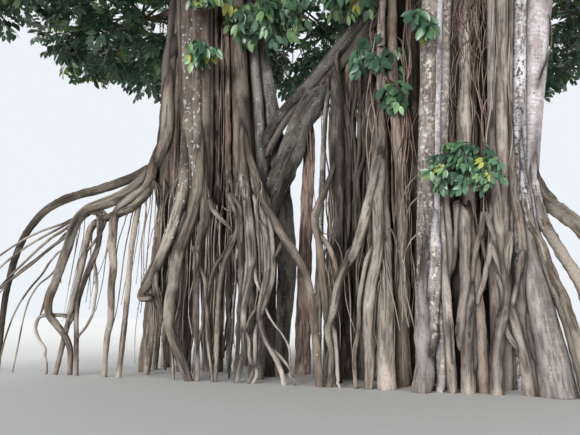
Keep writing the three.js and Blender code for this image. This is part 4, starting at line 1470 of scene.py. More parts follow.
# Stems and roots that stand free
@dataclass
class FreeLimbs:
    """The leaning stem, the arched stem, the props under them and the larger draped roots."""

    rising: tuple[Root, ...] = (
        Root("leaning_stem", ((-3.22, 1.04, 3.0), (-3.0, 0.92, 3.5), (-2.68, 0.78, 3.95),
            (-2.3, 0.62, 4.29), (-1.91, 0.45, 4.69), (-1.49, 0.28, 5.2), (-1.1, 0.13, 5.7),
            (-0.64, 0.02, 6.35)), (0.085, 0.175), Finish.MOSS, FLUTED, 32),
        Root("arched_stem", ((-3.06, 0.12, 0), (-3.0, 0.42, 1.7), (-2.9, 0.54, 2.45), (-2.69, 0.57, 2.98),
            (-2.5, 0.58, 3.44), (-2.39, 0.57, 3.78), (-2.22, 0.53, 4.04), (-1.97, 0.45, 4.32)),
            (0.115, 0.205), Finish.MOSS, KNOTTY, 32),
        Root("prop_a", ((-2.24, 0.26, 0), (-2.16, 0.38, 2.2), (-2.1, 0.4, 3.4), (-2.01, 0.44, 4.52)),
            (0.06, 0.034), Finish.GREY, PLAIN, 14),
        Root("prop_b", ((-2.08, -0.26, 0), (-1.99, -0.02, 1.6), (-1.93, 0.1, 3.28), (-1.9, 0.3, 4.6)),
            (0.13, 0.084), Finish.DARK, FLUTED, 24),
        Root("prop_c", ((-1.86, 0.3, 0), (-1.74, 0.4, 2.49), (-1.68, 0.42, 4.9)), (0.14, 0.085), Finish.RED,
            FLUTED, 24),
        Root("prop_d", ((-1.54, 0.12, 0), (-1.47, 0.28, 2.47), (-1.38, 0.26, 5.26)), (0.16, 0.1),
            Finish.DARK, FLUTED, 28),
        Root("prop_e", ((-1.49, -0.86, 0), (-1.4, -0.52, 1.5), (-1.37, -0.3, 3.17), (-1.3, -0.18, 5.0),
            (-1.19, 0.09, 5.56)), (0.11, 0.048), Finish.TAN, PLAIN, 22),
        Root("prop_f", ((-1.25, -0.56, 0), (-1.12, -0.33, 2.46), (-1.18, -0.28, 4.03), (-1.08, 0.04, 5.68)),
            (0.105, 0.066), Finish.BROWN, FLUTED, 22),
    )
    hanging: tuple[Root, ...] = (
        Root("sweeping_root", ((-4.44, 0.84, 3.95), (-4.53, 0.83, 3.48), (-4.65, 0.82, 3.16),
            (-4.85, 0.81, 2.87), (-5.12, 0.81, 2.65), (-5.4, 0.83, 2.53), (-5.67, 0.86, 2.43),
            (-5.88, 0.9, 2.23), (-5.96, 0.92, 1.95), (-6.05, 0.91, 1.62), (-6.13, 0.88, 1.29),
            (-6.2, 0.86, 0.97), (-6.13, 0.82, 0.8), (-5.93, 0.75, 0.62), (-5.77, 0.7, 0.36),
            (-5.74, 0.66, 0)), (0.125, 0.036), Finish.ROOT, SMOOTH, 24),
        Root("elbow_root", ((-4.12, 0.5, 2.9), (-4.23, 0.38, 2.26), (-4.31, 0.33, 1.93), (-4.47, 1.6),
            (-4.62, 1.26), (-4.7, 1.12), (-4.66, 1.04), (-4.58, 1.03), (-4.5, 1.08)), (0.11, 0.062),
            Finish.ROOT, FLUTED, 24, 0.06, 0.22),
        Root("long_root", ((-3.9, 0.48, 2.95), (-4.02, 2.2), (-4.15, 1.85), (-4.23, 1.2), (-4.26, 0.81),
            (-4.11, 0.37), (-3.89, 0)), (0.105, 0.06), Finish.ROOT, FLUTED, 24, like_carrier=0.16),
        Root("slim_root_a", ((-5.54, 0.86, 2.5), (-5.48, 1.94), (-5.58, 1.6), (-5.7, 1.18), (-5.72, 0.9),
            (-5.6, 0)), (0.042, 0.034)),
        Root("slim_root_b", ((-4.84, 0.8, 2.9), (-4.92, 1.8), (-4.92, 1.05), (-4.95, 0)), (0.045, 0.038)),
        Root("diagonal_root", ((-3.11, 0.56, 2.9), (-2.94, 2.35), (-2.73, 1.94), (-2.4, 1.36), (-2.23, 0)),
            (0.062, 0.05), Finish.BROWN),
        Root("side_root_high", ((0.56, -0.62, 2.35), (0.65, -1.38, 1.81), (0.93, -1.6, 1.15),
            (1.12, -1.76, 0)), (0.095, 0.075), Finish.ROOT, KNOTTY, 20),
        Root("side_root_low", ((0.47, -0.8, 2.05), (0.44, -1.29, 1.6), (0.59, -1.45, 1.15),
            (0.76, -1.64, 0)), (0.07, 0.062), Finish.ROOT, KNOTTY, 20),
    )

    def limbs(self) -> list[Limb]:
        """Every free limb, those that rise from the ground first."""
        return [root.limb() for root in (*self.rising, *self.hanging)]

    def build(self, limbs: Sequence[Limb], crease_shades: CreaseShades) -> None:
        """Makes each limb's piece.

        Args:
            limbs: the free limbs.
            crease_shades: the reader of the painted crease shade.
        """
        made = []
        for limb in limbs:
            slot = "pale_bark" if limb.name.startswith("prop") else "root_bark"
            slot = "bough_bark" if limb.name == "leaning_stem" else slot
            made.append(settled(limb_piece(f"{limb.name}_bark", [limb], crease_shades), slot, limb.name))
        report("free limbs", made)


@dataclass
class DrapedStrands:
    """The slim roots that lie on the draped face between the larger ones."""

    roots: tuple[Root, ...] = (
        Root("fan_a", ((-5.78, 0.9, 2.36), (-5.96, 2.135), (-6.4, 1.81), (-6.67, 1.59), (-7.01, 1.36),
            (-7.45, 1.02), (-7.82, 0.55), (-7.96, 0)), (0.028, 0.015)),
        Root("fan_b", ((-5.76, 0.9, 2.4), (-6.02, 2.2), (-6.31, 2.04), (-6.53, 1.87), (-6.75, 1.67),
            (-7.1, 1.33), (-7.45, 0.8), (-7.66, 0)), (0.024, 0.013)),
        Root("fan_c", ((-5.72, 0.89, 2.43), (-6.04, 2.26), (-6.44, 2.07), (-6.76, 1.91), (-7.2, 1.6),
            (-7.7, 1.1), (-8.08, 0.5), (-8.2, 0)), (0.021, 0.012)),
        Root("fan_d", ((-5.68, 0.88, 2.47), (-5.98, 2.31), (-6.33, 2.2), (-6.64, 2.11), (-7.1, 1.88),
            (-7.7, 1.42), (-8.2, 0.7), (-8.4, 0)), (0.02, 0.011)),
        Root("fan_e", ((-6.0, 0.92, 1.9), (-6.14, 1.8), (-6.29, 1.66), (-6.41, 1.46), (-6.55, 1.3),
            (-6.78, 0.95), (-6.92, 0.45), (-6.97, 0)), (0.018, 0.011)),
        Root("fan_f", ((-6.03, 0.91, 1.75), (-6.12, 1.6), (-6.28, 1.41), (-6.49, 1.25), (-6.62, 0.9),
            (-6.66, 0.4), (-6.7, 0)), (0.016, 0.01)),
        Root("fan_g", ((-5.9, 0.9, 2.25), (-6.15, 2.0), (-6.5, 1.74), (-6.85, 1.5), (-7.2, 1.1),
            (-7.36, 0.6), (-7.4, 0)), (0.016, 0.01)),
        Root("back_sweep", ((-4.4, 1.05, 3.4), (-5.05, 1.15, 3.03), (-5.4, 1.2, 2.9), (-5.73, 1.25, 2.81),
            (-6.14, 1.3, 2.7), (-6.5, 1.36, 2.54), (-6.9, 1.45, 2.1), (-7.15, 1.5, 1.2), (-7.2, 1.52, 0)),
            (0.085, 0.036), Finish.DARK, FLUTED, 20),
        Root("toe_a", ((-6.12, 1.42), (-6.26, 1.18), (-6.3, 1.0), (-6.35, 0.83)), (0.036, 0.019)),
        Root("ledge", ((-5.79, 0.83), (-6.14, 0.84), (-6.41, 0.77), (-6.35, 0.55), (-6.18, 0.35)),
            (0.032, 0.02), Finish.PALE_ROOT),
        Root("sweep_low", ((-4.55, 2.9), (-4.83, 2.67), (-5.08, 2.53), (-5.22, 2.38), (-5.25, 2.15),
            (-5.24, 1.88), (-5.18, 1.52), (-5.19, 1.17), (-5.15, 0.94), (-5.18, 0.45), (-5.16, 0)),
            (0.083, 0.034)),
        Root("sweep_mid", ((-4.7, 2.69), (-4.94, 2.45), (-5.2, 2.35), (-5.43, 2.28), (-5.62, 2.18)),
            (0.067, 0.034)),
        Root("slim_fan", ((-5.47, 0.85, 2.5), (-5.48, 1.88), (-5.58, 1.5), (-5.69, 1.21), (-5.71, 0.99),
            (-5.78, 0.74), (-5.93, 0.6)), (0.043, 0.026)),
        Root("slim_fan_b", ((-5.4, 0.84, 2.5), (-5.46, 2.05), (-5.77, 1.66), (-5.77, 1.3), (-5.79, 1.06)),
            (0.027, 0.018)),
        Root("slim_fan_c", ((-5.52, 1.62), (-5.44, 1.32), (-5.44, 1.06), (-5.47, 0.8), (-5.65, 0.52)),
            (0.027, 0.017)),
        Root("thin_drop", ((-4.19, 0.46), (-4.16, 0.26), (-4.13, 0)), (0.022, 0.016), Finish.PALE_ROOT),
        Root("fork_web", ((-4.04, 2.41), (-4.17, 2.01), (-4.25, 1.58), (-4.3, 1.27)), (0.061, 0.036)),
        Root("fork_toe", ((-4.36, 0.42, 1.85), (-4.48, 1.59), (-4.51, 1.4), (-4.48, 1.19), (-4.38, 0.91),
            (-4.31, 0.8), (-4.22, 0.66)), (0.05, 0.03)),
        Root("leg_toe", ((-3.9, 1.94), (-3.96, 1.74), (-3.89, 1.57), (-3.78, 1.37)), (0.031, 0.016)),
        Root("leg_side", ((-3.79, 2.53), (-3.67, 2.28), (-3.52, 2.13), (-3.4, 1.98)), (0.043, 0.025)),
        Root("curtain_1", ((-3.27, 0.5, 2.66), (-3.22, 2.35), (-3.18, 1.85), (-3.18, 1.37), (-3.26, 1.0),
            (-3.28, 0.81), (-3.15, 0.61), (-3.11, 0.31)), (0.042, 0.023), Finish.PALE_ROOT),
        Root("curtain_2", ((-3.05, 0.58, 2.72), (-2.9, 2.34), (-2.85, 1.84), (-2.83, 1.35), (-2.91, 1.04),
            (-3.01, 0.73), (-3.05, 0.56)), (0.047, 0.026), Finish.PALE_ROOT),
        Root("curtain_3", ((-3.16, 0.56, 2.66), (-3.07, 2.34), (-3.02, 1.85), (-2.96, 1.44), (-2.89, 1.14)),
            (0.033, 0.021), Finish.PALE_ROOT),
        Root("curtain_4", ((-3.26, 2.23), (-3.26, 1.72), (-3.25, 1.25)), (0.028, 0.016)),
        Root("curtain_5", ((-3.26, 2.14), (-3.39, 1.81), (-3.5, 1.5), (-3.58, 1.31)), (0.03, 0.018)),
        Root("curtain_6", ((-3.3, 2.08), (-3.42, 1.86), (-3.53, 1.62), (-3.64, 1.48)), (0.026, 0.015)),
        Root("curtain_7", ((-3.08, 1.63), (-3.05, 1.3), (-2.95, 1.09)), (0.027, 0.016), Finish.PALE_ROOT),
        Root("curtain_8", ((-2.89, 1.22), (-2.95, 0.94), (-3.0, 0.68), (-2.88, 0.49), (-2.7, 0.32),
            (-2.59, 0.17)), (0.029, 0.016), Finish.PALE_ROOT),
        Root("curtain_10", ((-3.24, 0.81), (-3.17, 0.61), (-3.18, 0.41), (-3.34, 0.21)), (0.026, 0.014),
            Finish.PALE_ROOT),
        Root("curtain_11", ((-3.01, 0.81), (-2.9, 0.54), (-2.83, 0.39)), (0.021, 0.013), Finish.PALE_ROOT),
        Root("curtain_12", ((-2.9, 1.25), (-2.93, 1.02), (-2.85, 0.8), (-2.7, 0.61)), (0.018, 0.011),
            Finish.PALE_ROOT),
        Root("curtain_13", ((-3.25, 0.84), (-3.3, 0.66), (-3.27, 0.5)), (0.021, 0.013), Finish.PALE_ROOT),
        Root("curtain_14", ((-3.48, 2.59), (-3.41, 2.38), (-3.32, 2.17), (-3.22, 1.97)), (0.031, 0.019)),
        Root("curtain_15", ((-3.02, 2.2), (-2.98, 1.84), (-2.97, 1.54), (-2.92, 1.3), (-2.83, 1.14)),
            (0.033, 0.021), Finish.PALE_ROOT),
        Root("curtain_16", ((-3.18, 2.22), (-3.18, 1.85), (-3.19, 1.55), (-3.27, 1.31)), (0.022, 0.013)),
        Root("curtain_17", ((-2.96, 1.04), (-3.12, 0.81), (-3.17, 0.66)), (0.02, 0.012), Finish.PALE_ROOT),
        Root("diag_thin", ((-2.68, 1.83), (-2.79, 1.62), (-2.88, 1.43)), (0.024, 0.014)),
        Root("mid_b", ((-2.31, 2.22), (-2.25, 1.94), (-2.21, 1.6), (-2.18, 1.26), (-2.15, 0.91),
            (-2.11, 0.61)), (0.056, 0.042), Finish.BROWN),
        Root("mid_c", ((-2.2, 1.86), (-2.09, 1.7), (-2.02, 1.46), (-1.98, 1.16)), (0.039, 0.025),
            Finish.BROWN),
        Root("low_a", ((-2.06, 0.67), (-2.04, 0.43), (-2.03, 0.07)), (0.029, 0.021), Finish.PALE_ROOT),
        Root("pillar_a", ((-1.385, -0.33, 3.05), (-1.46, -0.42, 2.75), (-1.54, 2.42), (-1.64, 2.1),
            (-1.74, 1.76), (-1.84, 1.56), (-1.95, 1.33)), (0.09, 0.05), Finish.PALE_ROOT),
        Root("pillar_b", ((-1.38, -0.36, 2.85), (-1.44, -0.46, 2.6), (-1.48, 2.3), (-1.48, 1.96),
            (-1.52, 1.57), (-1.61, 1.2), (-1.65, 0.91)), (0.083, 0.055), Finish.PALE_ROOT),
        Root("pillar_c", ((-1.43, 1.82), (-1.6, 1.63), (-1.7, 1.28), (-1.75, 1.03)), (0.035, 0.025)),
        Root("pillar_d", ((-1.82, 1.66), (-1.9, 1.46), (-2.0, 1.21), (-2.05, 0.96)), (0.058, 0.035)),
        Root("foot_brown_a", ((-0.68, 2.35), (-0.68, 1.99), (-0.68, 1.67), (-0.71, 1.4), (-0.77, 1.17)),
            (0.037, 0.04), Finish.TAN),
        Root("foot_brown_b", ((-0.53, 2.28), (-0.59, 1.96), (-0.63, 1.66), (-0.69, 1.38)), (0.037, 0.031),
            Finish.TAN),
        Root("foot_wide", ((-0.5, 2.05), (-0.53, 1.61), (-0.56, 1.19), (-0.61, 0.91), (-0.66, 0.52)),
            (0.072, 0.057), Finish.TAN),
        Root("foot_knee", ((-0.62, 0.82), (-0.68, 0.64), (-0.62, 0.51), (-0.64, 0.27)), (0.046, 0.045),
            Finish.TAN),
        Root("foot_thin_a", ((-0.5, 1.07), (-0.52, 0.69), (-0.55, 0.27)), (0.025, 0.022), Finish.TAN),
        Root("foot_thin_b", ((-0.78, 0.96), (-0.78, 0.68), (-0.77, 0.52)), (0.019, 0.016), Finish.TAN),
        Root("foot_left", ((-0.85, 1.48), (-0.91, 1.03), (-0.95, 0.68), (-1.01, 0.44), (-1.08, 0.08)),
            (0.084, 0.079), Finish.PALE),
        Root("foot_left_b", ((-0.85, 0.96), (-0.84, 0.68), (-0.85, 0.44), (-0.9, 0.07)), (0.042, 0.04),
            Finish.PALE),
        Root("cross_a", ((-0.26, 2.14), (-0.35, 1.82), (-0.45, 1.47), (-0.5, 1.23)), (0.036, 0.028),
            Finish.TAN),
        Root("cross_b", ((-0.23, 1.74), (-0.31, 1.44), (-0.4, 1.14), (-0.45, 1.02)), (0.037, 0.027),
            Finish.TAN),
        Root("cross_c", ((-0.37, 1.85), (-0.33, 1.6), (-0.31, 1.37)), (0.024, 0.018), Finish.TAN),
        Root("tan_left_fork", ((-0.2, 0.93), (-0.27, 0.73), (-0.32, 0.56), (-0.36, 0.41)), (0.041, 0.029),
            Finish.TAN),
        Root("tan_knee", ((-0.2, 0.84), (-0.19, 0.67), (-0.14, 0.56), (-0.09, 0.48)), (0.036, 0.033),
            Finish.TAN),
        Root("web_a", ((-0.03, 1.85), (-0.07, 1.59), (-0.12, 1.32)), (0.037, 0.034), Finish.TAN),
        Root("web_b", ((0.08, 1.64), (0.02, 1.36), (-0.05, 1.13), (-0.1, 0.98)), (0.039, 0.031),
            Finish.TAN),
        Root("web_c", ((-0.23, 1.37), (-0.24, 1.11), (-0.24, 0.89)), (0.025, 0.02), Finish.TAN),
    )
    folds: tuple[Root, ...] = (
        # Painted shadow: leaning_fold takes the dark bark so that the underside of the leaning stem reads as
        # shadowed.
        Root("leaning_fold", ((-3.02, 0.86, 3.2), (-2.62, 0.72, 3.86), (-2.2, 0.56, 4.22),
            (-1.8, 0.4, 4.62), (-1.38, 0.22, 5.12), (-1.0, 0.06, 5.62), (-0.62, -0.04, 6.15)), (0.04, 0.14),
            Finish.DARK, FLUTED, 26),
        Root("leaning_ridge", ((-3.0, 1.0, 3.5), (-2.7, 0.88, 4.02), (-2.34, 0.72, 4.4), (-1.96, 0.56, 4.8),
            (-1.54, 0.38, 5.32), (-1.14, 0.24, 5.84), (-0.7, 0.1, 6.4)), (0.035, 0.12), Finish.MOSS, FLUTED,
            22),
        Root("arched_fold", ((-2.9, 0.5, 0), (-2.86, 0.52, 1.8), (-2.8, 0.62, 2.5), (-2.62, 0.66, 3.1),
            (-2.38, 0.64, 3.7), (-2.04, 0.56, 4.35)), (0.085, 0.07), Finish.DARK, FLUTED, 22),
        Root("prop_inner", ((-2.42, 0.8, 0), (-2.38, 0.76, 1.6), (-2.34, 0.74, 2.6), (-2.27, 0.62, 3.85)),
            (0.12, 0.08), Finish.RED, FLUTED, 22),
        Root("prop_back_a", ((-1.95, 0.75, 0), (-1.84, 0.62, 2.4), (-1.66, 0.46, 4.95)), (0.15, 0.1),
            Finish.DARK, FLUTED, 24),
        Root("prop_back_b", ((-1.6, 0.55, 0), (-1.52, 0.52, 2.5), (-1.38, 0.34, 5.2)), (0.17, 0.11),
            Finish.DARK, FLUTED, 24),
        # prop_back_c takes the near-black recess bark as painted shade behind the front props.
        Root("prop_back_c", ((-1.22, 0.2, 0), (-1.16, 0.2, 2.5), (-1.02, 0.14, 5.6)), (0.15, 0.11),
            Finish.RECESS, FLUTED, 24),
        Root("prop_side", ((-1.36, -0.02, 0), (-1.3, 0.0, 2.4), (-1.24, 0.05, 5.3)), (0.1, 0.07),
            Finish.BROWN, KNOTTY, 20),
    )
    rootlets: tuple[Rootlets, ...] = (
        Rootlets("props", (-1.62, -1.1), (3.2, 5.4), (0.0, 1.4), (-0.62, -0.2), 20, (0.006, 0.013), 0.05),
        Rootlets("props_deep", (-2.05, -1.05), (3.4, 4.8), (0.0, 1.0), (-0.1, 0.35), 30, (0.012, 0.045),
            0.06, finish=Finish.DARK),
        Rootlets("arch", (-2.36, -1.96), (4.0, 4.4), (1.4, 3.0), (0.3, 0.48), 8, (0.005, 0.011), 0.04),
        Rootlets("left_face", (-6.1, -4.4), (1.9, 2.4), (0.4, 1.6), (0.05, 0.05), 18, (0.006, 0.012), 0.06,
            slant=-0.1, on_drape=True, finish=Finish.ROOT),
        Rootlets("fork_beard", (-4.5, -4.2), (0.95, 1.15), (0.3, 0.7), (0.0, 0.0), 14, (0.004, 0.008), 0.02,
            on_drape=True),
        Rootlets("middle_face", (-2.3, -1.15), (1.2, 2.4), (0.0, 0.8), (0.02, 0.02), 26, (0.005, 0.012),
            0.07, on_drape=True, finish=Finish.ROOT),
    )

    def limbs(self) -> list[Limb]:
        """Every strand."""
        return [root.limb() for root in self.roots]

    def build(self, folds: Sequence[Limb], strands: Sequence[Limb], crease_shades: CreaseShades,
              hooks: Carriers) -> None:
        """Makes the folds, the strands and the rootlets that hang among them.

        Args:
            folds: the folds and the props at the back.
            strands: the strands.
            crease_shades: the reader of the painted crease shade.
            hooks: what the rootlets may hang on.
        """
        hung = hooks.hung(self.rootlets)
        for name, limbs, slot in (("folds_and_back_props", folds, "pale_bark"),
                                  ("draped_strands", strands, "root_bark"),
                                  ("hanging_rootlets", hung, "root_bark")):
            report(name, [settled(limb_piece(name, limbs, crease_shades), slot)])


# The crown
@dataclass(frozen=True)
class Ring:
    """A ring of leaf masses: how many, the first one's bearing, spread, height and half sizes."""

    name: str
    count: int
    turn: float
    spread: Pair
    z: float
    size: Triple
    lift: float  # how far a bough dips before it enters its mass, as a share of its span
    carriers: tuple


def far_leaf() -> Faces:
    """A leaf of two faces, folded along its middle, for a spray high in the crown.

    Returns:
        Its corners, the corner of each loop and the first loop of each face.
    """
    outline = np.array([[0, 0, 0], [0.30, -0.5, 0.05], [0.68, -0.38, 0.03], [1, 0, -0.06],
                        [0.68, 0.38, 0.03], [0.30, 0.5, 0.05]])
    return outline, np.array([0, 1, 2, 3, 0, 3, 4, 5]), np.array([0, 4])


def near_leaf(rows: int, sag: float = -0.16, dish: float = 0.05) -> Faces:
    """A pointed oval leaf of unit length, dished along its middle and hanging at its tip.

    Args:
        rows: rows of corners between its base and its tip.
        sag: how far its tip hangs.
        dish: how far its edges rise.

    Returns:
        Its corners, the corner of each loop and the first loop of each face.
    """
    share = np.arange(1, rows + 1) / (rows + 1)
    half = 0.5 * np.sin(math.pi * share**0.85) ** 0.75
    corners = [(0.0, 0.0, 0.0)]
    for s, w, z in zip(share, half, sag * share**2):
        corners += [(s, -w, z + dish), (s, 0.0, z), (s, w, z + dish)]
    corners.append((1.0, 0.0, sag))
    faces = [(0, 1, 2), (0, 2, 3)]
    for i in range(rows - 1):
        a = 1 + 3 * i
        faces += [(a, a + 3, a + 4, a + 1), (a + 1, a + 4, a + 5, a + 2)]
    a, tip = 1 + 3 * (rows - 1), 1 + 3 * rows
    faces += [(a, tip, a + 1), (a + 1, tip, a + 2)]
    size = np.array([len(face) for face in faces])
    loops = np.array([corner for face in faces for corner in face])
    return np.array(corners), loops, np.concatenate([[0], np.cumsum(size)[:-1]])


@dataclass
class LeafTemplate:
    """A spray of leaves on a short twig along X, with its leaves' faces up."""

    places: Array
    loops: Array
    starts: Array
    twig: Array

    @classmethod
    def grown(cls, seed: int, leaves: int, length: float, leaf: float, width: float, droop: float,
              rows: int = 0) -> "LeafTemplate":
        """Sets leaves in turn on both sides of a twig, and one at its tip.

        Args:
            seed: the template's number.
            leaves: how many leaves.
            length: the twig's length.
            leaf: a leaf's length.
            width: its width as a share of its length.
            droop: how far the leaves hang, in radians.
            rows: rows of corners across a leaf that is seen from near; 0 for a leaf of two faces.

        Returns:
            The template.
        """
        rng = np.random.default_rng(seed)
        outline, loops, starts = near_leaf(rows) if rows else far_leaf()
        places = []
        for k in range(leaves):
            share = 0.2 + 0.8 * k / max(leaves - 1, 1)
            last = k == leaves - 1
            side = 0.0 if last else (1 if k % 2 else -1) * mix(1.15, 0.55, share)
            size = leaf * rng.uniform(0.78, 1.12) * mix(1.0, 0.85, share)
            blade = outline * (size, size * width, size)
            turn = side + rng.normal(0, 0.16)
            pitch = droop + rng.normal(0, 0.22)
            spin = Matrix.Rotation(turn, 3, "Z") @ Matrix.Rotation(pitch, 3, "Y")
            spin = spin @ Matrix.Rotation(rng.normal(0, 0.35) - 0.25 * side, 3, "X")
            stalk = np.array([math.cos(turn), math.sin(turn), 0.0]) * 0.12 * leaf
            base = np.array([share * length, 0, -0.02 * share]) + stalk
            places.append(blade @ np.array(spin).T + base)
        twig = np.array([[-0.02, 0, 0], [length * 0.98, 0, -0.015]])
        return cls(np.vstack(places), *repeated(loops, starts, len(outline), leaves), twig)


def twigs_of(lines: Array, ends: Pair, sides: int = 3) -> Faces:
    """Tapering twigs along many short lines at once.

    Args:
        lines: places along each twig, as (twigs, places, 3).
        ends: radius at the start and at the end.
        sides: corners round a twig.

    Returns:
        The corners, the corner of each loop and the first loop of each face.
    """
    count, rings, _ = lines.shape
    tube = blank_tube(sides, rings)
    way = unit(np.gradient(lines, axis=1))
    side = unit(np.cross(way, np.where(np.abs(way[..., 2:]) > 0.9, (1.0, 0.0, 0.0), UP)))
    other = np.cross(way, side)
    size = mix(*ends, np.linspace(0, 1, rings))[tube.ring][None, :, None]
    cos, sin = np.cos(tube.turn)[None, :, None], np.sin(tube.turn)[None, :, None]
    skin = lines[:, tube.ring] + (cos * side[:, tube.ring] + sin * other[:, tube.ring]) * size
    return skin.reshape(-1, 3), *repeated(tube.loops, tube.starts, len(tube.turn), count)


def curved(start: Array, pull: Array, end: Array, count: int) -> Array:
    """Many short bent lines at once.

    Args:
        start: where each begins.
        pull: the place that bends each.
        end: where each ends.
        count: places along each.

    Returns:
        Places as (lines, count, 3).
    """
    t = np.linspace(0, 1, count)[None, :, None]
    return start[:, None] * (1 - t) ** 2 + pull[:, None] * 2 * t * (1 - t) + end[:, None] * t**2


# Radii of a twig and of a spray's own stalk, at its start and end
TWIG_SIZE = (0.007, 0.004)
STALK_SIZE = (0.0042, 0.002)


@dataclass
class Mass:
    """One mass of leaves: a space, the bough that feeds it and the twigs and leaves within."""

    node: str
    centre: Array
    size: Array
    seed: int
    fed_from: Array = field(default_factory=lambda: np.zeros(3))
    neighbours: list[Array] = field(default_factory=list)
    main_count: int = 11
    branch_count: int = 74
    twigs_each: int = 5
    sprays_each: int = 3
    reach: float = 0.62  # how far out the main branches end, as a share of the space
    heart: float = -0.1  # height of the place where they meet, likewise
    stem_size: Pair = (0.056, 0.040)
    main_size: Pair = (0.036, 0.016)
    branch_size: Pair = (0.017, 0.008)
    twig_length: Pair = (0.26, 0.46)
    colours: tuple[float, ...] = (0.44, 0.40, 0.13, 0.03)
    clear: float = 0.16  # how far sprays keep from the boughs' middles
    overhang: float = 0.10  # how far a leaf may reach out of the space

    def holds(self, places: Array, slack: float = 0.0) -> Array:
        """Whether each place lies in the mass's own space.

        Args:
            places: one per row.
            slack: how far past the space's own walls still counts, in metres.

        Returns:
            True or False for each.
        """
        inside = (((places - self.centre) / (self.size + slack)) ** 2).sum(-1) < 1
        for other in self.neighbours:
            way = other - self.centre
            wall = self.centre + way / 2
            inside &= (places - wall) @ (way / np.linalg.norm(way)) < slack
        low, high = np.array(CAD_BOX[0]), np.array(CAD_BOX[1])
        return inside & np.all((places > low - slack) & (places < high + slack), axis=-1)

    def shell(self, rng: np.random.Generator, count: int, tries: int = 14) -> Array:
        """Ends for the branches: spread evenly through the outer part of the space.

        Args:
            rng: the mass's seeded numbers.
            count: how many.
            tries: places tried for each.

        Returns:
            The places.
        """
        way = unit(rng.normal(size=(count * tries, 3)))
        depth = rng.uniform(0.40, 1.0, (len(way), 1)) ** 0.45 * 0.86
        trial = self.centre + way * self.size * depth
        trial = trial[self.holds(trial, -0.12)]
        chosen = [trial[0]]
        gap = np.linalg.norm(trial - trial[0], axis=1)
        while len(chosen) < min(count, len(trial)):
            best = int(np.argmax(gap))
            chosen.append(trial[best])
            gap = np.minimum(gap, np.linalg.norm(trial - trial[best], axis=1))
        return np.array(chosen)

    def grow(self, templates: Sequence[LeafTemplate], leaves: Joiner, wood: Joiner, spine: Array) -> int:
        """Grows the mass into two joiners.

        Args:
            templates: the sprays to deal out.
            leaves: takes the leaves.
            wood: takes the branches and twigs.
            spine: places along the boughs, which leaves keep off.

        Returns:
            The number of sprays.
        """
        rng = np.random.default_rng(self.seed)
        heart = self.centre + np.array([0, 0, self.heart * self.size[2]])
        pull = mix(self.fed_from, heart, 0.5) - (0, 0, 0.1)
        stem = curved(self.fed_from[None], pull[None], heart[None], 8)
        self.add_wood(wood, stem, self.stem_size, 6)
        number = np.arange(self.main_count)
        up = 0.9 - 1.45 * (number + 0.5) / len(number)
        flat = np.sqrt(1 - up * up)
        turn = number * GOLDEN + rng.uniform(0, 0.6, len(number))
        way = np.stack([flat * np.cos(turn), flat * np.sin(turn), up], axis=1)
        start = stem[0][np.linspace(7, 3, len(number)).astype(int)]
        end = self.centre + way * self.size * self.reach * rng.uniform(0.85, 1.05, (len(number), 1))
        held = self.holds(end, -0.05)
        start, end = start[held], end[held]
        pull = mix(start, end, 0.5) + rng.normal(0, 0.16, start.shape) + UP * 0.10
        main = curved(start, pull, end, 9)
        self.add_wood(wood, main, self.main_size, 5)
        knots = np.vstack([main[:, 2:].reshape(-1, 3), stem[0][3:]])
        tips = self.shell(rng, self.branch_count)
        apart = np.linalg.norm(tips[:, None] - knots[None], axis=2)
        inner = np.linalg.norm(knots - heart, axis=1)[None]
        roots = knots[np.argmin(apart + 0.25 * inner, axis=1)]
        pull = mix(roots, tips, 0.55) + rng.normal(0, 0.10, tips.shape) + UP * 0.08
        branches = curved(roots, pull, tips, 7)
        self.add_wood(wood, branches, self.branch_size, 4)
        return self.add_sprays(rng, heart, branches, templates, leaves, wood, spine)

    def add_sprays(self, rng: np.random.Generator, heart: Array, branches: Array,
                   templates: Sequence[LeafTemplate], leaves: Joiner, wood: Joiner, spine: Array) -> int:
        """Adds the twigs at the branches' ends and a few sprays on each.

        Args:
            rng: the mass's seeded numbers.
            heart: where the mass's twigs meet.
            branches: places along each branch.
            templates: the sprays to deal out.
            leaves: takes the leaves.
            wood: takes the twigs.
            spine: places along the boughs, which leaves keep off.

        Returns:
            The number of sprays.
        """
        count = len(branches) * self.twigs_each
        line = np.repeat(branches, self.twigs_each, axis=0)
        at = np.tile(np.linspace(3, 6, self.twigs_each).astype(int), len(branches))
        start = line[np.arange(count), at]
        outward = unit(start - heart)
        along = unit(line[:, -1] - line[:, -3])
        way = unit(along + 0.5 * outward + rng.normal(0, 0.62, (count, 3)) + UP * 0.12)
        end = start + way * rng.uniform(*self.twig_length, (count, 1))
        twigs = curved(start, mix(start, end, 0.5) + UP * 0.03, end, 4)
        held = self.holds(end)
        twigs, way, outward = twigs[held], way[held], outward[held]
        self.add_wood(wood, twigs, TWIG_SIZE)
        base = twigs[:, 1:].reshape(-1, 3)
        way = np.repeat(way, self.sprays_each, axis=0)
        outward = np.repeat(outward, self.sprays_each, axis=0)
        side = np.tile([1.0, -1.0, 0.0], len(twigs))[:, None] * 0.9
        x = unit(way + side * unit(np.cross(way, UP)) + rng.normal(0, 0.22, way.shape) - UP * 0.08)
        face = unit(0.85 * UP + 0.55 * outward + rng.normal(0, 0.28, x.shape))
        y = unit(np.cross(face, x))
        turn = np.stack([x, y, np.cross(x, y)], axis=2)
        turn = turn * rng.uniform(0.82, 1.15, len(x))[:, None, None]
        kinds = rng.integers(0, len(templates), len(x))
        finish = rng.choice(len(LEAVES), len(x), p=self.colours)
        free = np.min(np.linalg.norm(base[:, None] - spine[None], axis=2), axis=1) > self.clear
        total = 0
        for kind, template in enumerate(templates):
            for colour, leaf in enumerate(LEAVES):
                pick = np.flatnonzero((kinds == kind) & (finish == colour) & free)
                blades = np.einsum("sij,nj->sni", turn[pick], template.places) + base[pick][:, None]
                inside = self.holds(blades.reshape(-1, 3), self.overhang)
                kept = inside.reshape(blades.shape[:2]).all(axis=1)
                if not kept.any():
                    continue
                pick = pick[kept]
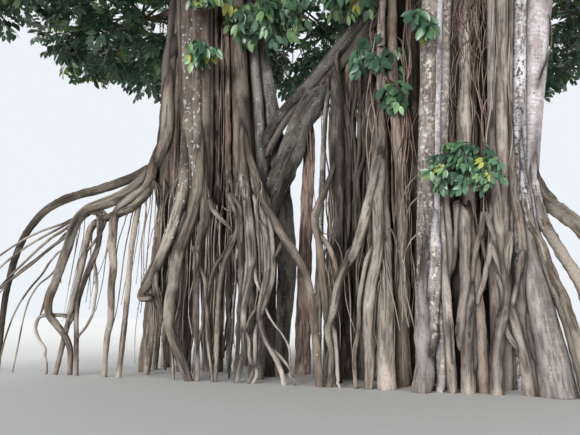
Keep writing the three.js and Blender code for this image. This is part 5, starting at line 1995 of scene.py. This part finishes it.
                self.add_blades(leaves, blades[kept], template, leaf)
                lines = np.einsum("sij,nj->sni", turn[pick], template.twig)
                self.add_wood(wood, lines + base[pick][:, None], STALK_SIZE)
                total += len(pick)
        return total

    @staticmethod
    def add_blades(leaves: Joiner, blades: Array, template: LeafTemplate, finish: Finish) -> None:
        """Adds many copies of one spray.

        Args:
            leaves: takes the leaves.
            blades: corners as (sprays, corners, 3).
            template: the spray.
            finish: its leaves' finish.
        """
        skin = blades.reshape(-1, 3)
        faces = repeated(template.loops, template.starts, blades.shape[1], len(blades))
        leaves.add(skin, np.zeros((len(skin), 3)), np.zeros(len(skin)), 0.0, *faces, finish)

    @staticmethod
    def add_wood(wood: Joiner, lines: Array, ends: Pair, sides: int = 3) -> None:
        """Adds many twigs of one size.

        Args:
            wood: takes the twigs.
            lines: places along each.
            ends: radius at the start and at the end.
            sides: corners round a twig.
        """
        if len(lines):
            skin, *faces = twigs_of(lines, ends, sides)
            wood.add(skin, skin * (1.0, 1.0, 0.3), np.zeros(len(skin)), 0.2, *faces, Finish.TWIG)


@dataclass
class Crown:
    """Boughs from both trunks and the domed rings of masses that they feed."""

    x: float = -1.70
    y: float = 0.50
    sway: float = 0.25  # how far the masses of a ring stand above and below its height
    rings: tuple[Ring, ...] = (
        Ring("outer", 9, 10, (7.3, 6.5), 8.3, (2.9, 2.9, 2.15), 0.1,
            ("main right_back", "main back", "main left_back", "left back", "left back_left",
             "left core_left", "left front_left", "main pale_left", "main white_right")),
        Ring("top", 3, 60, (1.7, 1.6), 13.5, (2.45, 2.45, 1.8), 0.2,
            ("main core", "left core", "main core_right")),
        Ring("middle", 6, 30, (4.3, 3.9), 11.1, (2.75, 2.75, 1.95), 0.05, (1, 3, 5, 6, 7, 9)),
    )
    enter: float = 0.7  # how far out in its mass a bough ends
    ease: float = 0.3  # share of its span that each of its pulls reaches
    thickest: float = 0.26
    start_share: float = 0.92  # its radius at the start, as a share of its stem's
    tip: float = 0.06
    branch_at: float = 0.34  # where on an outer bough a middle one branches off
    branch_taper: float = 0.72
    branch_rise: float = 0.9
    branch_tip: float = 0.054
    seed: int = 11

    def masses(self) -> dict[str, Mass]:
        """Sets out every mass.

        Returns:
            The masses by their nodes' names, each with its neighbours' centres.
        """
        made = {}
        for ring in self.rings:
            for i in range(ring.count):
                turn = math.radians(ring.turn + 360 * i / ring.count)
                centre = np.array([
                    self.x + ring.spread[0] * math.cos(turn),
                    self.y + ring.spread[1] * math.sin(turn),
                    ring.z + self.sway * math.sin(3 * turn + ring.count),
                ])
                node = f"{ring.name}_leaves_{i + 1}"
                made[node] = Mass(node, centre, np.array(ring.size), self.seed + len(made))
        for mass in made.values():
            mass.neighbours = [other.centre for other in made.values() if other is not mass]
        return made

    def bough_path(self, start: Array, heading: Array, mass: Mass, lift: float) -> Path:
        """A bough's line: off along its carrier's line, then round to enter its mass.

        Args:
            start: where it leaves.
            heading: its carrier's direction there.
            mass: the mass that it feeds.
            lift: how far it dips before it enters.

        Returns:
            The path.
        """
        inward = start - mass.centre
        end = mass.centre + inward * self.enter / np.linalg.norm(inward / mass.size)
        span = float(np.linalg.norm(end - start))
        outward = unit((mass.centre - start) * (1, 1, 0))
        entering = end - outward * span * self.ease - UP * span * lift
        return Path.bent(start, start + heading * span * self.ease, entering, end)

    def boughs(self, masses: dict[str, Mass], stems: dict[str, Limb]) -> dict[str, Limb]:
        """Grows every bough and tells each mass where it is fed from.

        Args:
            masses: the masses by node.
            stems: the trunks' stems by name.

        Returns:
            The boughs by node.
        """
        made: dict[str, Limb] = {}
        for ring in self.rings:
            for i, carrier in enumerate(ring.carriers):
                mass = masses[f"{ring.name}_leaves_{i + 1}"]
                if ring.name == "middle":
                    on, share = made[f"outer_bough_{carrier}"], self.branch_at
                    heading = unit(on.path.way(share) + UP * self.branch_rise)
                    ends = (on.thickness(share) * self.branch_taper, self.branch_tip)
                else:
                    on, share = stems[carrier], 1.0
                    heading = on.path.way(share)
                    ends = (min(on.thickness(share) * self.start_share, self.thickest), self.tip)
                path = self.bough_path(on.path.spot(share), heading, mass, ring.lift)
                node = f"{ring.name}_bough_{i + 1}"
                made[node] = self.bough(node, path, ends)
                mass.fed_from = path.points[-1]
        return made

    @staticmethod
    def bough(node: str, path: Path, ends: Pair) -> Limb:
        """One tapering bough.

        Args:
            node: its node's name.
            path: its line.
            ends: radius where it leaves and where it enters its mass.

        Returns:
            The limb.
        """
        def radius(t: Array) -> Array:
            """The radius at each share of the length."""
            return mix(*ends, np.sqrt(t))

        finish = Finish.BROWN if node.startswith("outer") else Finish.GREY
        return Limb(node, path, radius, finish, spacing=0.12)

    @staticmethod
    def build_boughs(boughs: dict[str, Limb], crease_shades: CreaseShades) -> None:
        """Makes the boughs' pieces.

        Args:
            boughs: the boughs by node.
            crease_shades: the reader of the painted crease shade.
        """
        report("boughs", [settled(limb_piece(f"{node}_bark", [limb], crease_shades), "bough_bark", node)
                          for node, limb in boughs.items()])

    @staticmethod
    def build_leaves(masses: dict[str, Mass], boughs: dict[str, Limb]) -> None:
        """Grows the masses of leaves.

        Args:
            masses: the masses by node.
            boughs: the boughs by node.
        """
        templates = [LeafTemplate.grown(40 + i, leaves=9, length=0.42, leaf=0.25, width=0.52, droop=0.35)
                     for i in range(6)]
        spine = np.vstack([limb.path.at(np.linspace(0, 0.97, 40)) for limb in boughs.values()])
        for node, mass in masses.items():
            leaves, wood = Joiner(), Joiner()
            near = spine[np.linalg.norm((spine - mass.centre) / (mass.size + 0.4), axis=1) < 1]
            count = mass.grow(templates, leaves, wood, near if len(near) else spine[:1])
            made = [settled(leaves.piece(f"{node}_blades", False), "leaves", node),
                    settled(wood.piece(f"{node}_twigs"), "bough_bark")]
            report(f"{node} ({count} sprays)", made)


@dataclass(frozen=True)
class Shoot:
    """A tuft of large leaves that hangs from a limb, near the ground."""

    node: str
    start: Triple
    centre: Triple
    size: Triple
    twigs: int
    colours: tuple[float, ...] = (0.38, 0.38, 0.18, 0.06)
    leaf: float = 1.0  # its leaves' size against the template's
    stem_size: Pair = (0.016, 0.010)
    stalk_size: Pair = (0.004, 0.002)

    def grow(self, templates: Sequence[LeafTemplate], leaves: Joiner, wood: Joiner) -> None:
        """Grows the tuft into two joiners.

        Args:
            templates: the sprays to deal out.
            leaves: takes the leaves.
            wood: takes the twigs.
        """
        rng = np.random.default_rng(name_seed(self.node))
        start, centre, size = (np.array(v) for v in (self.start, self.centre, self.size))
        hub = mix(start, centre, 0.55)
        stem = curved(start[None], (mix(start, hub, 0.5) + UP * 0.08)[None], hub[None], 6)
        Mass.add_wood(wood, stem, self.stem_size, 5)
        way = unit(rng.normal(size=(self.twigs, 3)))
        ends = centre + way * size * rng.uniform(0.25, 0.8, (self.twigs, 1))
        starts = stem[0][rng.integers(2, 6, self.twigs)]
        lines = curved(starts, mix(starts, ends, 0.5) + UP * 0.08, ends, 5)
        Mass.add_wood(wood, lines, TWIG_SIZE, 4)
        for line in lines:
            for at in (2, 4, 4):
                x = unit(line[at] - line[at - 1] + rng.normal(0, 0.35, 3) * 0.03 - UP * 0.02)
                face = unit(np.array([0.0, -0.55, 0.7]) + rng.normal(0, 0.35, 3))
                y = unit(np.cross(face, x))
                template = templates[rng.integers(len(templates))]
                turn = np.stack([x, y, np.cross(x, y)])
                scale = rng.uniform(0.8, 1.1) * self.leaf
                blades = template.places @ turn * scale + line[at]
                if (((blades - centre) / (size + 0.12)) ** 2).sum(1).max() > 1.35:
                    continue
                finish = LEAVES[rng.choice(len(LEAVES), p=self.colours)]
                Mass.add_blades(leaves, blades[None], template, finish)
                Mass.add_wood(wood, (template.twig @ turn * scale + line[at])[None], self.stalk_size)


@dataclass
class Shoots:
    """The tufts of leaves that grow straight from the old wood."""

    tufts: tuple[Shoot, ...] = (
        Shoot("shoot_left", (-3.99, 0.57, 4.89), (-3.98, 0.13, 4.68), (0.36, 0.23, 0.21), 8,
            (0.3, 0.3, 0.28, 0.12)),
        Shoot("shoot_bough", (-1.56, 0.29, 5.05), (-1.38, -0.18, 4.46), (0.4, 0.22, 0.44), 18,
            (0.5, 0.35, 0.13, 0.02)),
        Shoot("shoot_prop", (-1.33, -0.25, 4.06), (-1.18, -0.5, 3.78), (0.17, 0.13, 0.22), 6,
            (0.5, 0.35, 0.15, 0.0)),
        Shoot("shoot_pale", (-0.71, -0.8, 4.64), (-0.92, -1.12, 4.48), (0.26, 0.16, 0.2), 8),
        Shoot("shoot_right", (-0.08, -0.815, 2.7), (-0.52, -1.26, 2.6), (0.52, 0.26, 0.38), 60,
            (0.48, 0.38, 0.13, 0.01), 0.58),
    )
    hung: tuple[Shoot, ...] = (
        Shoot("hung_left", (-3.3, 0.8, 5.8), (-3.22, 0.42, 5.42), (0.42, 0.28, 0.46), 18,
            (0.26, 0.4, 0.32, 0.02)),
        Shoot("hung_middle", (-2.95, 0.9, 6.0), (-2.72, 0.45, 5.45), (0.44, 0.3, 0.5), 18,
            (0.28, 0.4, 0.28, 0.04)),
        Shoot("hung_bough", (-1.35, 0.2, 5.45), (-1.85, 0.02, 5.55), (0.5, 0.26, 0.42), 16,
            (0.28, 0.4, 0.28, 0.04)),
        Shoot("hung_front", (-4.2, 0.55, 5.75), (-3.75, 0.2, 5.62), (0.48, 0.24, 0.26), 12,
            (0.32, 0.36, 0.24, 0.08)),
    )

    def build(self) -> None:
        """Makes each tuft's leaves and twigs."""
        templates = [LeafTemplate.grown(70 + i, leaves=5, length=0.20, leaf=0.21, width=0.50, droop=0.7,
                                        rows=4) for i in range(6)]
        made = []
        for tuft in (*self.tufts, *self.hung):
            leaves, wood = Joiner(), Joiner()
            tuft.grow(templates, leaves, wood)
            nodes = (tuft.node,) if tuft in self.tufts else ()
            made.append(settled(leaves.piece(f"{tuft.node}_blades"), "leaves", *nodes))
            made.append(settled(wood.piece(f"{tuft.node}_twigs"), "bough_bark"))
        report("shoots", made)


# The stage
@dataclass
class Stage:
    """A pale floor, soft light from the front and left, and the camera at the photograph's angle."""

    floor_size: float = 120.0
    floor_colour: Colour = (0.62, 0.61, 0.59)
    floor_gloss: Pair = (0.9, 0.5)  # roughness and strength of its reflections
    sky: Colour = (0.86, 0.90, 0.95)
    sky_strength: float = 1.0
    eye: Triple = (-2.6, -7.7, 0.9)
    tilt: float = 9.33
    lens: float = 35.317
    sensor: float = 36.0
    far: float = 400.0
    lamp_distance: float = 30.0
    lamps: tuple[tuple[str, Triple, float, float], ...] = (  # name, bearing, spread in degrees, strength
        ("key", (-0.55, -1.0, 0.24), 24.0, 3.0),
        ("fill", (0.9, -1.0, 0.16), 40.0, 0.7),
        ("high", (-0.4, 0.3, 1.0), 30.0, 1.3),
    )

    def floor(self) -> None:
        """The floor, level with the feet of the stems."""
        bm = bmesh.new()
        bmesh.ops.create_grid(bm, x_segments=1, y_segments=1, size=self.floor_size / 2)
        mesh = bpy.data.meshes.new("floor")
        bm.to_mesh(mesh)
        bm.free()
        g = Graph("pale_floor")
        g.plain(self.floor_colour, *self.floor_gloss)
        mesh.materials.append(g.material)
        placed("floor", mesh)

    def light(self) -> None:
        """The sky's even light and the lamps."""
        world = bpy.data.worlds.new("studio")
        world.use_nodes = True
        background = next(n for n in world.node_tree.nodes if n.type == "BACKGROUND")
        background.inputs[0].default_value = (*self.sky, 1.0)
        background.inputs[1].default_value = self.sky_strength
        bpy.context.scene.world = world
        for name, way, spread, strength in self.lamps:
            lamp = bpy.data.lights.new(name, "SUN")
            lamp.energy = strength
            lamp.angle = math.radians(spread)
            made = placed(name, lamp)
            made.location = self.lamp_distance * Vector(way)
            made.rotation_euler = (-Vector(way)).to_track_quat("-Z", "Y").to_euler()

    def camera(self) -> None:
        """The camera."""
        bpy.context.scene.view_settings.view_transform = "Standard"
        lens = bpy.data.cameras.new("camera")
        lens.lens, lens.sensor_width, lens.clip_end = self.lens, self.sensor, self.far
        made = placed("camera", lens)
        made.location = self.eye
        made.rotation_euler = (math.radians(90 + self.tilt), 0.0, 0.0)
        bpy.context.scene.camera = made

    def build(self) -> None:
        """Sets the stage."""
        self.floor()
        self.light()
        self.camera()



@dataclass
class Tree:
    """The whole tree."""

    main: MainTrunk = field(default_factory=MainTrunk)
    left: LeftTrunk = field(default_factory=LeftTrunk)
    free: FreeLimbs = field(default_factory=FreeLimbs)
    strands: DrapedStrands = field(default_factory=DrapedStrands)
    crown: Crown = field(default_factory=Crown)
    shoots: Shoots = field(default_factory=Shoots)

    def build(self) -> None:
        """Grows every limb, makes the wood's pieces and then the leaves'."""
        main, left, free = self.main.limbs(), self.left.limbs(), self.free.limbs()
        stems = {f"main {s.name}": limb for s, limb in zip(self.main.stems, main)}
        stems |= {f"left {s.name}": limb for s, limb in zip(self.left.stems, left)}
        carriers = Carriers([*stems.values(), free[0]])
        main = carriers.ribbed_after(main, len(self.main.stems))
        left = carriers.ribbed_after(left, len(self.left.stems))
        rising = [carriers.slimmed(limb, False) for limb in free[:len(self.free.rising)]]
        free = rising + carriers.ribbed_after(free[len(rising):], 0)
        masses = self.crown.masses()
        boughs = self.crown.boughs(masses, stems)
        folds = [carriers.slimmed(fold.limb()) for fold in self.strands.folds]
        stout = Carriers([*main, *left, *free], reach=0.75)
        strands = self.strands.limbs()
        strands = [stout.grafted(limb, [*stout.stems, *strands]) for limb in strands]
        every = [*main, *left, *free, *folds, *boughs.values(), *strands]
        crease_shades, hooks = CreaseShades(every), Carriers(every, reach=0.22)
        self.main.build(main, crease_shades, hooks)
        self.left.build(left, crease_shades, hooks)
        self.free.build(free, crease_shades)
        self.strands.build(folds, strands, crease_shades, hooks)
        self.crown.build_boughs(boughs, crease_shades)
        self.crown.build_leaves(masses, boughs)
        self.shoots.build()


def main() -> None:
    """Builds the scene."""
    logging.basicConfig(level=logging.INFO, format="%(name)s: %(message)s")
    Stage().build()
    Tree().build()
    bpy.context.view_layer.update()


if __name__ == "__main__":
    main()
